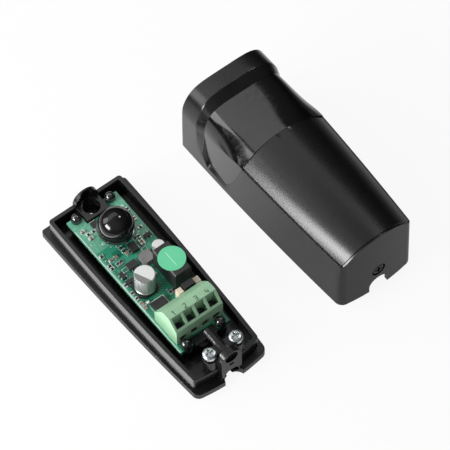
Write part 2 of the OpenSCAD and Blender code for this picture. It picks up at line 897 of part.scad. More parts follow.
module pan_screw(head_r, head_h, shank_r, shank_len) {
    difference() {
        union() {
            rotate_extrude($fn = round_fn)
                polygon(concat(
                    [[0, 0], [head_r, 0]],
                    [for (i = [0:corner_steps])
                        let (a = 90 * i / corner_steps)
                        [head_r * (1 - clamp_dome_share) + head_r * clamp_dome_share * cos(a),
                            head_h * (1 - clamp_dome_share) + head_h * clamp_dome_share * sin(a)]],
                    [[0, head_h]]
                ));
            translate([0, 0, -shank_len])
                cylinder(h = shank_len + cut_skin, r = shank_r, $fn = bore_fn);
        }
        for (turn = [0, 90])
            rotate([0, 0, turn])
                translate([-cross_len / 2, -cross_w / 2, head_h - cross_depth])
                    cube([cross_len, cross_w, cross_depth + overrun]);
    }
}

module clamp_screw(side) {
    color(steel_colour)
        translate([side * clamp_pitch / 2, post_y, post_top + ear_gap + ear_t])
            pan_screw(clamp_head_d / 2, clamp_head_h, clamp_shank_r, clamp_shank_len);
}

// Cover: one arched section is swept along the length, then trimmed to the plan outline.
// The window is let into the top and both sides between the hood and the plain body.
cover_y0 = plate_y0 - cover_overhang;
cover_y1 = plate_y1 + cover_overhang;
cover_cable_w = plate_cable_w + 2 * cover_overhang;
cover_lens_w = plate_lens_w + 2 * cover_overhang;
cover_corner_r = plate_corner_r + cover_overhang;
draft_share = 0.02;
body_power = 2.4;
tuck_power = 1.3;
hood_power = 4.9;
body_round_share = 1;
hood_round_share = 0.6;
hood_y = cover_y1 - hood_len;
window_y1 = hood_y - hood_slope;
window_y0 = window_y1 - window_len;
sill_rear_share = 0.43;
sill_front_share = 0.764;
sill_rear_y = window_y0 + window_len * sill_rear_share;
sill_front_y = window_y0 + window_len * sill_front_share;
sill_rear_power = 1.45;
sill_front_power = 4.2;
band_power = 2.5;
sill_band = 1.3;
hood_sweep = 0.8;
hood_fall = 1;
lens_end_draft = 1.1;
crest_clear = 2.2;
window_gap = 0.08;
arch_steps = 9;
sill_steps = 20;
body_stations = 4;
rear_stations = 7;
front_stations = 7;
slope_stations = 4;
cover_notch_w = 8.4;
cover_notch_h = 7;
cover_hole_z = pilot_z - plate_h;
cover_counterbore_r = 3;
cover_counterbore_depth = 1.3;
cover_boss_r = 4;
cover_boss_len = 0.3;
cover_spigot_r = 2.5;
cover_spigot_len = 1;
cover_bore_r = 1.5;
cover_head_r = 2.6;
cover_head_h = 1.2;
cover_shank_r = 1.45;
cover_shank_len = 8;

function clamp01(v) = max(0, min(1, v));
function ease(v) = let (u = clamp01(v)) u * u * (3 - 2 * u);
function mix(a, b, u) = a + (b - a) * u;

// How far along the change from plain body to hood a place lies
function hood_blend(y) = ease((y - window_y0) / (window_y1 - window_y0));

// How deep the window's face lies, from 0 at its rear edge to 1 at the hood. The hood's front edge
// sweeps back from the middle of the top, where side is 0, to the sides, where side is 1
function tuck(y, side) =
    y <= window_y1 ? pow(clamp01((y - window_y0) / (window_y1 - window_y0)), tuck_power)
    : clamp01((hood_y - hood_sweep * side * side - y) / (hood_slope - hood_sweep * side * side));

function upright(y) = mix(side_h, hood_side_h, hood_blend(y));

// Lower edge of the window's side pane
function sill(y) =
    mix(window_sill, upright(y), max(
        pow(clamp01((sill_rear_y - y) / (sill_rear_y - window_y0)), sill_rear_power),
        pow(clamp01((y - sill_front_y) / (window_y1 - sill_front_y)), sill_front_power)
    ));

// Outer edge of the sloped band that runs below and in front of the pane
function band(y) =
    let (end_y = hood_y - hood_sweep)
    min(sill(y) - sill_band, mix(window_sill - sill_band, upright(y),
        pow(clamp01((y - sill_front_y) / (end_y - sill_front_y)), band_power)));

// Highest point of the section at y
function crown_top(y) =
    upright(y) + mix(crown_h, hood_crown_h, hood_blend(y))
    - hood_fall * max(0, (y - hood_y) / hood_len);

// Half of the section at y, from the rim up the side and over to the middle, inset by t
function half_section(y, t, bottom) =
    let (
        w = half_width(y, cover_y0, cover_y1, cover_cable_w, cover_lens_w, side_bow) - t,
        low = min(sill(y), upright(y) - crest_clear),
        band_z = y > window_y1 ? min(band(y), low - sill_band) : min(band(y), low - sill_band / 2),
        pull = tuck(y, 1) * window_tuck,
        crest_x = w - pull - upright(y) * draft_share,
        power = mix(body_power, hood_power, hood_blend(y)),
        roundness = mix(body_round_share, hood_round_share, hood_blend(y))
    )
    concat(
        [[w, bottom]],
        [[w - band_z * draft_share, band_z]],
        [[w - pull - low * draft_share, low]],
        [[w - pull - (low + upright(y)) / 2 * draft_share, (low + upright(y)) / 2]],
        [for (i = [0:arch_steps])
            let (
                side = cos(90 * i / arch_steps),
                arch = pow(clamp01(1 - pow(side, power)), roundness),
                top = crown_top(y) - tuck(y, side) * window_drop * arch - t
            )
            [crest_x * side, upright(y) + (top - upright(y)) * arch]]
    );

function cover_ring(y, t, bottom) =
    let (half = half_section(y, t, bottom), n = len(half))
    concat(
        [for (i = [0:n - 1]) [half[i][0], y, half[i][1]]],
        [for (i = [n - 2:-1:0]) [-half[i][0], y, half[i][1]]]
    );

function cover_stations() =
    concat(
        [cover_y0 - overrun],
        [for (i = [1:body_stations]) mix(cover_y0, window_y0, i / (body_stations + 1))],
        [for (i = [0:rear_stations - 1]) mix(window_y0, sill_front_y, i / rear_stations)],
        [for (i = [0:front_stations - 1]) mix(sill_front_y, window_y1, i / front_stations)],
        [for (i = [0:slope_stations]) mix(window_y1, hood_y, i / slope_stations)],
        [(hood_y + cover_y1) / 2, cover_y1 + overrun]
    );

// Closed solid through mirrored rings with the same odd count of points
module loft(rings) {
    n = len(rings[0]);
    m = len(rings);
    half = (n - 1) / 2;
    last = (m - 1) * n;
    points = [for (ring = rings) for (p = ring) p];
    faces = concat(
        [for (j = [0:m - 2]) for (i = [0:n - 1])
            [j * n + i, j * n + (i + 1) % n, (j + 1) * n + (i + 1) % n]],
        [for (j = [0:m - 2]) for (i = [0:n - 1])
            [j * n + i, (j + 1) * n + (i + 1) % n, (j + 1) * n + i]],
        [for (i = [0:half - 1]) [i + 1, i, n - 1 - i]],
        [for (i = [0:half - 2]) [i + 1, n - 1 - i, n - 2 - i]],
        [for (i = [0:half - 1]) [last + i, last + i + 1, last + n - 1 - i]],
        [for (i = [0:half - 2]) [last + n - 1 - i, last + i + 1, last + n - 2 - i]]
    );
    polyhedron(points = points, faces = faces, convexity = 4);
}

// Side view of the room inside the end walls; the lens-end wall leans in towards the top
module end_wedge(t) {
    top = side_h + crown_h + hood_crown_h;
    translate([-cover_lens_w, 0, 0])
        rotate([90, 0, 90])
            linear_extrude(height = 2 * cover_lens_w)
                polygon([
                    [cover_y0 - overrun, -2 * overrun],
                    [cover_y1 - t, -2 * overrun],
                    [cover_y1 - t, 0],
                    [cover_y1 - t - lens_end_draft, side_h + crown_h],
                    [cover_y1 - t - lens_end_draft, top],
                    [cover_y0 - overrun, top]
                ]);
}

module cover_solid(t, bottom) {
    intersection() {
        end_wedge(t);
        loft([for (y = cover_stations()) cover_ring(y, t, bottom)]);
        translate([0, 0, bottom])
            linear_extrude(height = side_h + crown_h + hood_crown_h)
                outline(cover_y0 + t, cover_y1 - t, cover_cable_w - 2 * t, cover_lens_w - 2 * t,
                    side_bow, end_bow, cover_corner_r - t, lens_corner_r / (t > 0 ? 2 : 1));
    }
}

module cover_blank() {
    difference() {
        cover_solid(0, 0);
        cover_solid(cover_t, -overrun);
    }
}

// Side view of the window, drawn right across the cover
module window_prism(gap) {
    top = side_h + crown_h + hood_crown_h;
    low_edge = [for (i = [0:sill_steps])
        let (y = mix(window_y0 + gap, window_y1 - gap, i / sill_steps)) [y, sill(y) + gap]];
    translate([-cover_lens_w, 0, 0])
        rotate([90, 0, 90])
            linear_extrude(height = 2 * cover_lens_w)
                polygon(concat(low_edge, [[window_y1 - gap, top], [window_y0 + gap, top]]));
}

module cover_place() {
    translate([cover_gap_x, cover_shift_y, 0])
        children();
}

module cover_shell() {
    inner_y = cover_y0 + cover_t;
    color(cover_colour)
        cover_place()
            difference() {
                union() {
                    difference() {
                        cover_blank();
                        window_prism(0);
                    }
                    rod_y(0, cover_hole_z, cover_boss_r, inner_y - cut_skin, inner_y + cover_boss_len);
                    rod_y(0, cover_hole_z, cover_spigot_r, inner_y,
                        inner_y + cover_boss_len + cover_spigot_len);
                }
                rod_y(0, cover_hole_z, cover_bore_r, cover_y0 - overrun,
                    inner_y + cover_boss_len + cover_spigot_len + overrun);
                rod_y(0, cover_hole_z, cover_counterbore_r, cover_y0 - overrun,
                    cover_y0 + cover_counterbore_depth);
                block(0, cover_notch_w, cover_y0 - overrun, inner_y + end_bow + overrun, -overrun,
                    cover_notch_h - cover_notch_w / 2);
                rod_y(0, cover_notch_h - cover_notch_w / 2, cover_notch_w / 2, cover_y0 - overrun,
                    inner_y + end_bow + overrun);
            }
}

module cover_window() {
    color(window_colour)
        cover_place()
            intersection() {
                cover_blank();
                window_prism(window_gap);
            }
}

module cover_screw() {
    seat_y = cover_y0 + cover_counterbore_depth;
    color(chip_colour)
        cover_place()
            translate([0, seat_y - seat_gap, cover_hole_z])
                rotate([90, 0, 0])
                    pan_screw(cover_head_r, cover_head_h, cover_shank_r, cover_shank_len);
}

base_tray();
circuit_board();
board_pins();
lens_dome();
lens_holder();
infrared_detector();
terminal_housing();
terminal_contacts();
terminal_screw(0);  // terminal_screw_1
terminal_screw(1);  // terminal_screw_2
terminal_screw(2);  // terminal_screw_3
terminal_screw(3);  // terminal_screw_4
terminal_cage(0);  // terminal_cage_1
terminal_cage(1);  // terminal_cage_2
terminal_cage(2);  // terminal_cage_3
terminal_cage(3);  // terminal_cage_4
relay();
relay_sticker();
main_capacitor();
main_capacitor_foot();
small_capacitor();
small_capacitor_foot();
power_inductor();
black_chips();
chip_resistors();
chip_capacitors();
status_led();
header_body();
header_pins();
jumper_cap();
cable_clamp();
clamp_screw(-1);  // clamp_screw_left
clamp_screw(1);  // clamp_screw_right
cover_shell();
cover_window();
cover_screw();
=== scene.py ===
import json
import math

import bmesh
import bpy
from mathutils import Matrix, Vector


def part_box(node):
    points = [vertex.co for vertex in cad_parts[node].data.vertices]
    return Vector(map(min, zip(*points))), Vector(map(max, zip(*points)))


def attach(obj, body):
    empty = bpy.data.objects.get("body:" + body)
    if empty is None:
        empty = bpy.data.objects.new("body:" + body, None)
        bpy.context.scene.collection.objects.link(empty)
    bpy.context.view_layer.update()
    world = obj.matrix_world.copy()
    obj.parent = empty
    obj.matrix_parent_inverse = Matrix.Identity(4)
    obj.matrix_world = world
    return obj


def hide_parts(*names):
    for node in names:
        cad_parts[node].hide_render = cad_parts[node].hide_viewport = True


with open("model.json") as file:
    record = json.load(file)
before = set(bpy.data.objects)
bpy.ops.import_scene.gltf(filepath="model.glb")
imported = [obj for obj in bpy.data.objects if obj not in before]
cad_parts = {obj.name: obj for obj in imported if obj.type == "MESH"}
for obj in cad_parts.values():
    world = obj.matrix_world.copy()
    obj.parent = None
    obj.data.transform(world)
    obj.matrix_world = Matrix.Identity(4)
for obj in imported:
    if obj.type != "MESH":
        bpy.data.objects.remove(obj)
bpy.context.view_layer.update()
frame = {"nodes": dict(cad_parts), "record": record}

MM = 0.001


def centre_of(node):
    """The middle of a node's box in plan, in millimetres."""
    low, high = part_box(node)
    return (low[0] + high[0]) / 2 / MM, (low[1] + high[1]) / 2 / MM


def top_of(node):
    """The height of a node's top, in millimetres."""
    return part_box(node)[1][2] / MM


board_low, board_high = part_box("circuit_board")
BOARD_TOP = board_high[2] / MM
BOARD_Y0 = board_low[1] / MM
BOARD_W = (board_high[0] - board_low[0]) / MM
BOARD_LEN = board_high[1] / MM - BOARD_Y0

# Camera, fitted to the photograph's frame of 450 by 450 pixels
FRAME_PX = 450
CAMERA_AZIMUTH = -35.62
CAMERA_ELEVATION = 59.16
CAMERA_ROLL = -2.05
CAMERA_DISTANCE = 1666.6 * MM
CAMERA_TARGET = Vector((37.26, 7.94, 0)) * MM
FOCAL_PX = 4462.6
SENSOR_WIDTH = 36.0


def make_camera():
    """The photograph's own view: azimuth and elevation in degrees, turned about the line of sight."""
    a = math.radians(CAMERA_AZIMUTH)
    e = math.radians(CAMERA_ELEVATION)
    r = math.radians(CAMERA_ROLL)
    back = Vector((math.sin(a) * math.cos(e), -math.cos(a) * math.cos(e), math.sin(e)))
    level = Vector((math.cos(a), math.sin(a), 0))
    upright = back.cross(level)
    right = level * math.cos(r) + upright * math.sin(r)
    up = upright * math.cos(r) - level * math.sin(r)
    data = bpy.data.cameras.new("camera")
    data.sensor_width = SENSOR_WIDTH
    data.lens = FOCAL_PX / FRAME_PX * SENSOR_WIDTH
    data.clip_start = 0.1
    data.clip_end = 10
    camera = bpy.data.objects.new("camera", data)
    bpy.context.scene.collection.objects.link(camera)
    turn = Matrix((right, up, back)).transposed().to_4x4()
    camera.matrix_world = Matrix.Translation(CAMERA_TARGET + back * CAMERA_DISTANCE) @ turn
    bpy.context.scene.camera = camera


class Nodes:
    """Makes nodes in one tree. A value is a number, a colour or another node's output."""

    def __init__(self, tree):
        self.tree = tree

    def feed(self, socket, value):
        if isinstance(value, bpy.types.NodeSocket):
            self.tree.links.new(value, socket)
        elif isinstance(value, tuple) and socket.type == "RGBA":
            socket.default_value = (*value, 1)
        else:
            socket.default_value = value

    def node(self, kind, **sockets):
        made = self.tree.nodes.new(kind)
        for key, value in sockets.items():
            self.feed(made.inputs[key.replace("_", " ")], value)
        return made

    def operate(self, kind, operation, values):
        made = self.node(kind)
        made.operation = operation
        for socket, value in zip(made.inputs, values):
            self.feed(socket, value)
        return made.outputs

    def math(self, operation, a, b=0.0):
        return self.operate("ShaderNodeMath", operation, (a, b))[0]

    def vector_math(self, operation, *values):
        return self.operate("ShaderNodeVectorMath", operation, values)

    def between(self, factor, low, high, from_low=0.0, from_high=1.0, smooth=False):
        """Goes from low to high as factor goes from from_low to from_high, and holds them beyond."""
        made = self.node("ShaderNodeMapRange", Value=factor, From_Min=from_low, From_Max=from_high,
                         To_Min=low, To_Max=high)
        made.interpolation_type = "SMOOTHSTEP" if smooth else "LINEAR"
        return made.outputs["Result"]

    def coordinates(self, kind):
        return self.node("ShaderNodeTexCoord").outputs[kind]

    def split(self, vector):
        return self.node("ShaderNodeSeparateXYZ", Vector=vector).outputs

    def ray(self, kind):
        return self.node("ShaderNodeLightPath").outputs["Is %s Ray" % kind]

    def seen_straight(self):
        """1 where the camera looks at something directly or through glass."""
        return self.math("MAXIMUM", self.ray("Camera"), self.ray("Transmission"))


class Look(Nodes):
    """A material. Its noise is in object coordinates, which at rest are the world's, in metres."""

    def __init__(self, name):
        self.material = bpy.data.materials.new(name)
        self.material.use_nodes = True
        super().__init__(self.material.node_tree)
        self.shader = self.tree.nodes["Principled BSDF"]
        self.place = self.coordinates("Object")

    def noise(self, scale, detail=4.0, rough=0.55, stretch=None):
        place = self.place
        if stretch:
            place = self.node("ShaderNodeMapping", Vector=place, Scale=stretch).outputs["Vector"]
        made = self.node("ShaderNodeTexNoise", Vector=place, Scale=scale, Detail=detail, Roughness=rough)
        return made.outputs["Fac"]

    def clouded(self, noise, low, high):
        """Spreads a noise, which rarely leaves 0.3 to 0.7, over low to high."""
        return self.between(noise, low, high, 0.3, 0.7)

    def blend(self, factor, a, b):
        made = self.node("ShaderNodeMix")
        made.data_type = "RGBA"
        colour_inputs = made.inputs[6], made.inputs[7]
        self.feed(made.inputs[0], factor)
        for socket, value in zip(colour_inputs, (a, b)):
            self.feed(socket, value)
        return made.outputs[2]

    def mottle(self, noise, colour, vary):
        """The colour, a share vary darker to a share vary lighter."""
        dark = tuple(v * (1 - vary) for v in colour)
        light = tuple(min(1, v * (1 + vary)) for v in colour)
        return self.blend(self.clouded(noise, 0, 1), dark, light)

    def bump(self, height, strength, distance, edge=0.0):
        """Relief of the given height map. Where edge is given, edges look rounded by that radius."""
        made = self.node("ShaderNodeBump", Height=height, Strength=strength, Distance=distance)
        if edge:
            rounded = self.node("ShaderNodeBevel", Radius=edge)
            rounded.samples = 4
            self.feed(made.inputs["Normal"], rounded.outputs["Normal"])
        self.feed(self.shader.inputs["Normal"], made.outputs["Normal"])

    def set(self, **sockets):
        for key, value in sockets.items():
            self.feed(self.shader.inputs[key.replace("_", " ")], value)
        return self.material


# The outside of the tray's left wall: its faces look left, lie beyond X and stand above the rim's Z,
# both in metres, and lean this many times as much as the rest
LEFT_WALL_X, RIM_TOP_Z, LEFT_WALL_LEAN = -0.012, 0.0029, 3.5


def lean(look, rise):
    """Tilts upright normals a little towards the sky, as draft does, and the left wall's outside more."""
    bumped = look.shader.inputs["Normal"].links[0].from_socket
    x, y, z = look.split(look.place)
    true_normal = look.node("ShaderNodeNewGeometry").outputs["True Normal"]
    faces_left = look.math("LESS_THAN", look.split(true_normal)["X"], -0.5)
    left_side = look.math("MULTIPLY", faces_left, look.math("LESS_THAN", x, LEFT_WALL_X))
    left_wall = look.math("MULTIPLY", left_side, look.math("GREATER_THAN", z, RIM_TOP_Z))
    tilt = look.math("ADD", look.math("MULTIPLY", left_wall, rise * LEFT_WALL_LEAN), rise)
    up = look.node("ShaderNodeCombineXYZ", Z=tilt).outputs[0]
    leaning = look.vector_math("ADD", bumped, up)[0]
    look.feed(look.shader.inputs["Normal"], look.vector_math("NORMALIZE", leaning)[0])


def plastic(name, colour, rough, grain, grain_depth=0.05, edge=0.0, vary=0.25, specular=0.5, ior=1.5,
            rise=0.0):
    """Moulded plastic. grain is the scale of its fine relief, edge its rounding in metres."""
    look = Look(name)
    tint = look.mottle(look.noise(140.0, 5.0), colour, vary)
    fine = look.noise(grain * 3, 3.0, 0.6)
    look.bump(look.noise(grain, 3.0, 0.6), grain_depth, 0.0002, edge)
    if rise:
        lean(look, rise)
    return look.set(Base_Color=tint, Roughness=look.clouded(fine, rough - 0.05, rough + 0.06),
                    Specular_IOR_Level=specular, IOR=ior)


METAL_SCALE, METAL_VARY = 600.0, 0.12


def metal(name, colour, rough, edge=0.0001):
    """Bare metal with a faint cloud in its tint and its roughness."""
    look = Look(name)
    cloud = look.noise(METAL_SCALE, 4.0, 0.6)
    look.bump(look.noise(METAL_SCALE * 2, 4.0, 0.6), 0.06, 0.0001, edge)
    return look.set(Base_Color=look.mottle(cloud, colour, METAL_VARY),
                    Roughness=look.clouded(cloud, rough - 0.06, rough + 0.1), Metallic=1.0)


def can_look(name, node, bevel, radius, sector_turn, sector_from):
    """A bare can with a printed top, inside its bevel in millimetres. The dark sector lies towards
    sector_turn, in degrees, and starts at a share sector_from of the radius from the axis."""
    look = Look(name)
    cx, cy = centre_of(node)
    x, y, z = look.split(look.place)
    a = math.radians(sector_turn)
    along = look.math("ADD", look.math("MULTIPLY", look.math("SUBTRACT", x, cx * MM), math.cos(a)),
                      look.math("MULTIPLY", look.math("SUBTRACT", y, cy * MM), math.sin(a)))
    sector = look.math("GREATER_THAN", along, radius * sector_from * MM)
    on_top = look.math("GREATER_THAN", z, (top_of(node) - bevel) * MM)
    brushed = look.noise(900.0, 4.0, 0.6, stretch=(1, 1, 0.08))
    side = look.blend(look.clouded(brushed, 0, 1), (0.62, 0.64, 0.63), (0.78, 0.8, 0.79))
    printed = look.blend(sector, (0.67, 0.68, 0.67), (0.2, 0.2, 0.196))
    look.bump(brushed, 0.05, 0.0001, 0.00012)
    return look.set(Base_Color=look.blend(on_top, side, printed),
                    Roughness=look.clouded(brushed, 0.28, 0.42),
                    Metallic=look.between(on_top, 0.85, 0.1))


# Paler parts of the board, in metres: a painted highlight along its left edge, and two paler patches beside
# the lens
LEFT_HIGHLIGHT_X = -0.0104
LEFT_PATCH_X, LEFT_PATCH_Y = -0.0042, 0.0235
RIGHT_PATCH_X, RIGHT_PATCH_Y = 0.0062, 0.0175
# Levels above which the noise puts pads and the wave puts a track, and the relief of both
PADS_ABOVE, TRACK_ABOVE = 0.53, 0.72
PAD_RELIEF, TRACK_RELIEF = 0.7, 0.55


def board_look():
    """Green solder mask over square pads in some regions and slanted tracks in the others, with a painted
    highlight along the left edge and paler speckled patches beside the lens.
    """
    look = Look("board_green")
    x, y, _ = look.split(look.place)
    cloud = look.noise(90.0, 5.0, 0.6)
    cells = look.node("ShaderNodeTexVoronoi", Vector=look.place, Scale=230.0)
    cells.feature = "F1"
    cells.distance = "CHEBYCHEV"
    region = look.math("GREATER_THAN", look.noise(60.0, 2.0), PADS_ABOVE)
    pads = look.math("MULTIPLY", look.between(cells.outputs["Distance"], 0, 1, 0.36, 0.4), region)
    wave = look.node("ShaderNodeTexWave", Vector=look.place, Scale=430.0, Distortion=2.5, Detail=1.0)
    wave.wave_type = "BANDS"
    wave.bands_direction = "DIAGONAL"
    tracks = look.math("MULTIPLY", look.math("GREATER_THAN", wave.outputs["Fac"], TRACK_ABOVE),
                       look.math("SUBTRACT", 1.0, region))
    raised = look.math("MAXIMUM", look.math("MULTIPLY", pads, PAD_RELIEF),
                       look.math("MULTIPLY", tracks, TRACK_RELIEF))
    mask = look.blend(look.clouded(cloud, 0, 1), (0.006, 0.115, 0.065), (0.012, 0.175, 0.1))
    tint = look.blend(raised, mask, (0.035, 0.30, 0.18))
    # Painted highlight: a strip along the board's left edge is made lighter; two patches beside the lens
    # are made paler as well
    left_highlight = look.math("LESS_THAN", x, LEFT_HIGHLIGHT_X)
    left_patch = look.math("MULTIPLY", look.math("LESS_THAN", x, LEFT_PATCH_X),
                          look.math("GREATER_THAN", y, LEFT_PATCH_Y))
    right_patch = look.math("MULTIPLY", look.math("GREATER_THAN", x, RIGHT_PATCH_X),
                           look.math("GREATER_THAN", y, RIGHT_PATCH_Y))
    pale = look.math("MAXIMUM", left_highlight, look.math("MAXIMUM", left_patch, right_patch))
    # The painted highlight strip and the paler patches get a pale, speckled green
    speckle = look.between(look.noise(1500.0, 2.0), 0.55, 1.0, 0.4, 0.62)
    tint = look.blend(look.math("MULTIPLY", pale, speckle), tint, (0.14, 0.42, 0.28))
    look.bump(raised, 0.35, 0.00004, 0.00008)
    return look.set(Base_Color=tint, Roughness=look.clouded(cloud, 0.25, 0.4))


tray_look = plastic("tray_black", (0.0062, 0.0064, 0.0068), 0.24, 700, 0.04, edge=0.0003, rise=0.08)
cover_look = plastic("cover_black", (0.0058, 0.0057, 0.0062), 0.25, 1500, edge=0.00012)
window_look = plastic("window_black", (0.004, 0.0035, 0.004), 0.11, 200, 0.004, edge=0.0001, vary=0.1,
                      specular=0.72)
lens_look = plastic("lens_black", (0.006, 0.0055, 0.0065), 0.11, 200, 0.003, vary=0.1)
pin_look = plastic("pin_black", (0.012, 0.012, 0.013), 0.12, 500, 0.01, ior=2.1)
terminal_look = plastic("terminal_green", (0.26, 0.45, 0.285), 0.42, 1100, edge=0.0002, vary=0.05)
chip_look = plastic("chip_black", (0.018, 0.018, 0.019), 0.45, 2500, 0.1, edge=0.00008)
foot_look = plastic("foot_black", (0.010, 0.010, 0.011), 0.4, 1500, edge=0.00008)
ferrite_look = plastic("ferrite_grey", (0.17, 0.165, 0.165), 0.5, 2600, 0.2, edge=0.0001, vary=0.2)
ceramic_look = plastic("ceramic_tan", (0.22, 0.15, 0.09), 0.4, 2500, edge=0.00005, vary=0.2)
header_look = plastic("header_cream", (0.72, 0.62, 0.47), 0.45, 1200, edge=0.0001, vary=0.08)
led_look = plastic("led_white", (0.75, 0.74, 0.66), 0.25, 900, 0.02, edge=0.00005, vary=0.05)
sticker_look = plastic("sticker_green", (0.115, 0.56, 0.30), 0.4, 2500, 0.03, vary=0.03)
silk_look = plastic("silkscreen_white", (0.62, 0.72, 0.66), 0.5, 2500, 0.02, vary=0.05)
number_look = plastic("number_green", (0.028, 0.085, 0.045), 0.5, 2500, 0.02, vary=0.1)
pale_look = plastic("pale_green", (0.36, 0.72, 0.55), 0.45, 2500, 0.02, vary=0.04)
steel_look = metal("zinc_steel", (0.62, 0.66, 0.67), 0.26)
# Screws that sit in recesses: near-black partly as dark plating and partly as painted shade of the recesses
# they sit in
dark_shaded_screw_look = metal("dark_shaded_screw", (0.06, 0.06, 0.065), 0.35)
brass_look = metal("tinned_brass", (0.7, 0.6, 0.36), 0.3)
solder_look = metal("solder", (0.72, 0.73, 0.74), 0.3, edge=0.0)

LOOKS = {
    "base_tray": tray_look,
    "circuit_board": board_look(),
    "board_pins": pin_look,
    "lens_dome": lens_look,
    "lens_holder": pin_look,
    "infrared_detector": lens_look,
    "terminal_housing": terminal_look,
    "terminal_contacts": brass_look,
    "relay": chip_look,
    "relay_sticker": sticker_look,
    "main_capacitor": can_look("main_can", "main_capacitor", bevel=0.35, radius=4.0, sector_turn=205,
                               sector_from=0.3),
    "main_capacitor_foot": foot_look,
    "small_capacitor": can_look("small_can", "small_capacitor", bevel=0.25, radius=2.45,
                                sector_turn=195, sector_from=0.75),
    "small_capacitor_foot": foot_look,
    "power_inductor": ferrite_look,
    "black_chips": chip_look,
    "chip_resistors": chip_look,
    "chip_capacitors": ceramic_look,
    "status_led": led_look,
    "header_body": header_look,
    "header_pins": brass_look,
    "jumper_cap": chip_look,
    "cable_clamp": tray_look,
    "clamp_screw_left": steel_look,
    "clamp_screw_right": steel_look,
    "cover_shell": cover_look,
    "cover_window": window_look,
    "cover_screw": dark_shaded_screw_look,
}
for way in range(1, 5):
    LOOKS["terminal_screw_%d" % way] = dark_shaded_screw_look
    LOOKS["terminal_cage_%d" % way] = steel_look

for part in frame["record"]["subparts"]:
    node = frame["nodes"][part["node"]]
    node.data.materials.clear()
    node.data.materials.append(LOOKS[part["node"]])


# Mesh helpers. A shape is a list of vertices, in millimetres, and a list of faces
ROD_SEGMENTS = 64
SHARP_ANGLE = 32


def new_object(name, shape):
    verts, faces = shape
    mesh = bpy.data.meshes.new(name)
    mesh.from_pydata([tuple(c * MM for c in v) for v in verts], [], faces)
    mesh.validate()
    made = bpy.data.objects.new(name, mesh)
    bpy.context.scene.collection.objects.link(made)
    return made


def finish_mesh(mesh, sharp_angle=None, weld=0.0):
    """Turns the faces outwards, or welds a mesh whose faces already are. With an angle, in degrees, it
    shades smooth wherever faces meet flatter than that."""
    bm = bmesh.new()
    bm.from_mesh(mesh)
    if weld:
        bmesh.ops.remove_doubles(bm, verts=bm.verts, dist=weld)
    else:
        bmesh.ops.recalc_face_normals(bm, faces=bm.faces)
    if sharp_angle:
        for face in bm.faces:
            face.smooth = True
        for edge in bm.edges:
            edge.smooth = not (len(edge.link_faces) == 2
                               and edge.calc_face_angle(0) > math.radians(sharp_angle))
    bm.to_mesh(mesh)
    bm.free()


def declare(piece, material, body, replaces):
    piece.data.materials.clear()
    piece.data.materials.append(material)
    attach(piece, body)
    if replaces:
        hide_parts(*replaces)


def add_piece(name, shape, material, sharp_angle=SHARP_ANGLE, replaces=()):
    """A separate visual piece that rides on the base."""
    piece = new_object(name, shape)
    finish_mesh(piece.data, sharp_angle)
    declare(piece, material, "base", replaces)


def lathe(profile, x, y, z, segments):
    """Rings of points round Z. The profile runs from the axis or an edge outwards and up."""
    verts, faces = [], []
    rows = []
    for r, h in profile:
        if r < 1e-6:
            rows.append([len(verts)] * segments)
            verts.append((x, y, z + h))
        else:
            rows.append(list(range(len(verts), len(verts) + segments)))
            for k in range(segments):
                t = 2 * math.pi * k / segments
                verts.append((x + r * math.cos(t), y + r * math.sin(t), z + h))
    for a, b in zip(rows, rows[1:]):
        for k in range(segments):
            n = (k + 1) % segments
            loop = [a[k], a[n], b[n], b[k]]
            faces.append([v for i, v in enumerate(loop) if v not in loop[:i]])
    return verts, faces


def quarter(r, steps):
    """Points of a quarter circle from the equator up, without the pole."""
    angles = [math.pi / 2 * i / steps for i in range(steps)]
    return [(r * math.cos(t), r * math.sin(t)) for t in angles]


def join(shapes):
    """Several shapes as one."""
    verts, faces = [], []
    for more_verts, more_faces in shapes:
        start = len(verts)
        verts += more_verts
        faces += [[v + start for v in face] for face in more_faces]
    return verts, faces


def bridge(verts):
    """A prism whose two equal ends follow each other in verts."""
    n = len(verts) // 2
    faces = [[k, (k + 1) % n, n + (k + 1) % n, n + k] for k in range(n)]
    faces += [list(range(n - 1, -1, -1)), list(range(n, 2 * n))]
    return verts, faces


def rod_y(x, z, r, y0, y1):
    angles = [2 * math.pi * k / ROD_SEGMENTS for k in range(ROD_SEGMENTS)]
    return bridge([(x + r * math.cos(t), y, z + r * math.sin(t)) for y in (y0, y1) for t in angles])


def prism_x(profile, x0, x1):
    return bridge([(x, y, z) for x in (x0, x1) for y, z in profile])


def box_mesh(x0, x1, y0, y1, z0, z1):
    verts = [(x, y, z) for x in (x0, x1) for y in (y0, y1) for z in (z0, z1)]
    faces = [[0, 1, 3, 2], [4, 6, 7, 5], [0, 4, 5, 1], [2, 3, 7, 6], [0, 2, 6, 4], [1, 5, 7, 3]]
    return verts, faces


# The cover's two parts, drawn finely from the formulas and the values of the part's source
COVER_X, COVER_Y = 66.0, -0.7
PLATE_LEN, OVERHANG = 93.4, 0.6
COVER_Y0, COVER_Y1 = -PLATE_LEN / 2 - OVERHANG, PLATE_LEN / 2 + OVERHANG
CABLE_W, LENS_W = 32 + 2 * OVERHANG, 38.8 + 2 * OVERHANG
SIDE_BOW, END_BOW, CABLE_R, LENS_R, SHELL_T = 0.9, 1.1, 3.6, 1.2, 1.6
SIDE_H, CROWN_H, HOOD_SIDE_H, HOOD_CROWN_H = 27.8, 8.4, 22.0, 14.2
HOOD_LEN, HOOD_SLOPE, WINDOW_LEN = 8.6, 4.2, 24.2
WINDOW_DROP, WINDOW_TUCK, WINDOW_SILL, WINDOW_GAP = 2.6, 1.3, 4.6, 0.08
DRAFT, BODY_POWER, HOOD_POWER, TUCK_POWER = 0.02, 2.4, 4.9, 1.3
BODY_ROUND, HOOD_ROUND = 1.0, 0.6
HOOD_Y = COVER_Y1 - HOOD_LEN
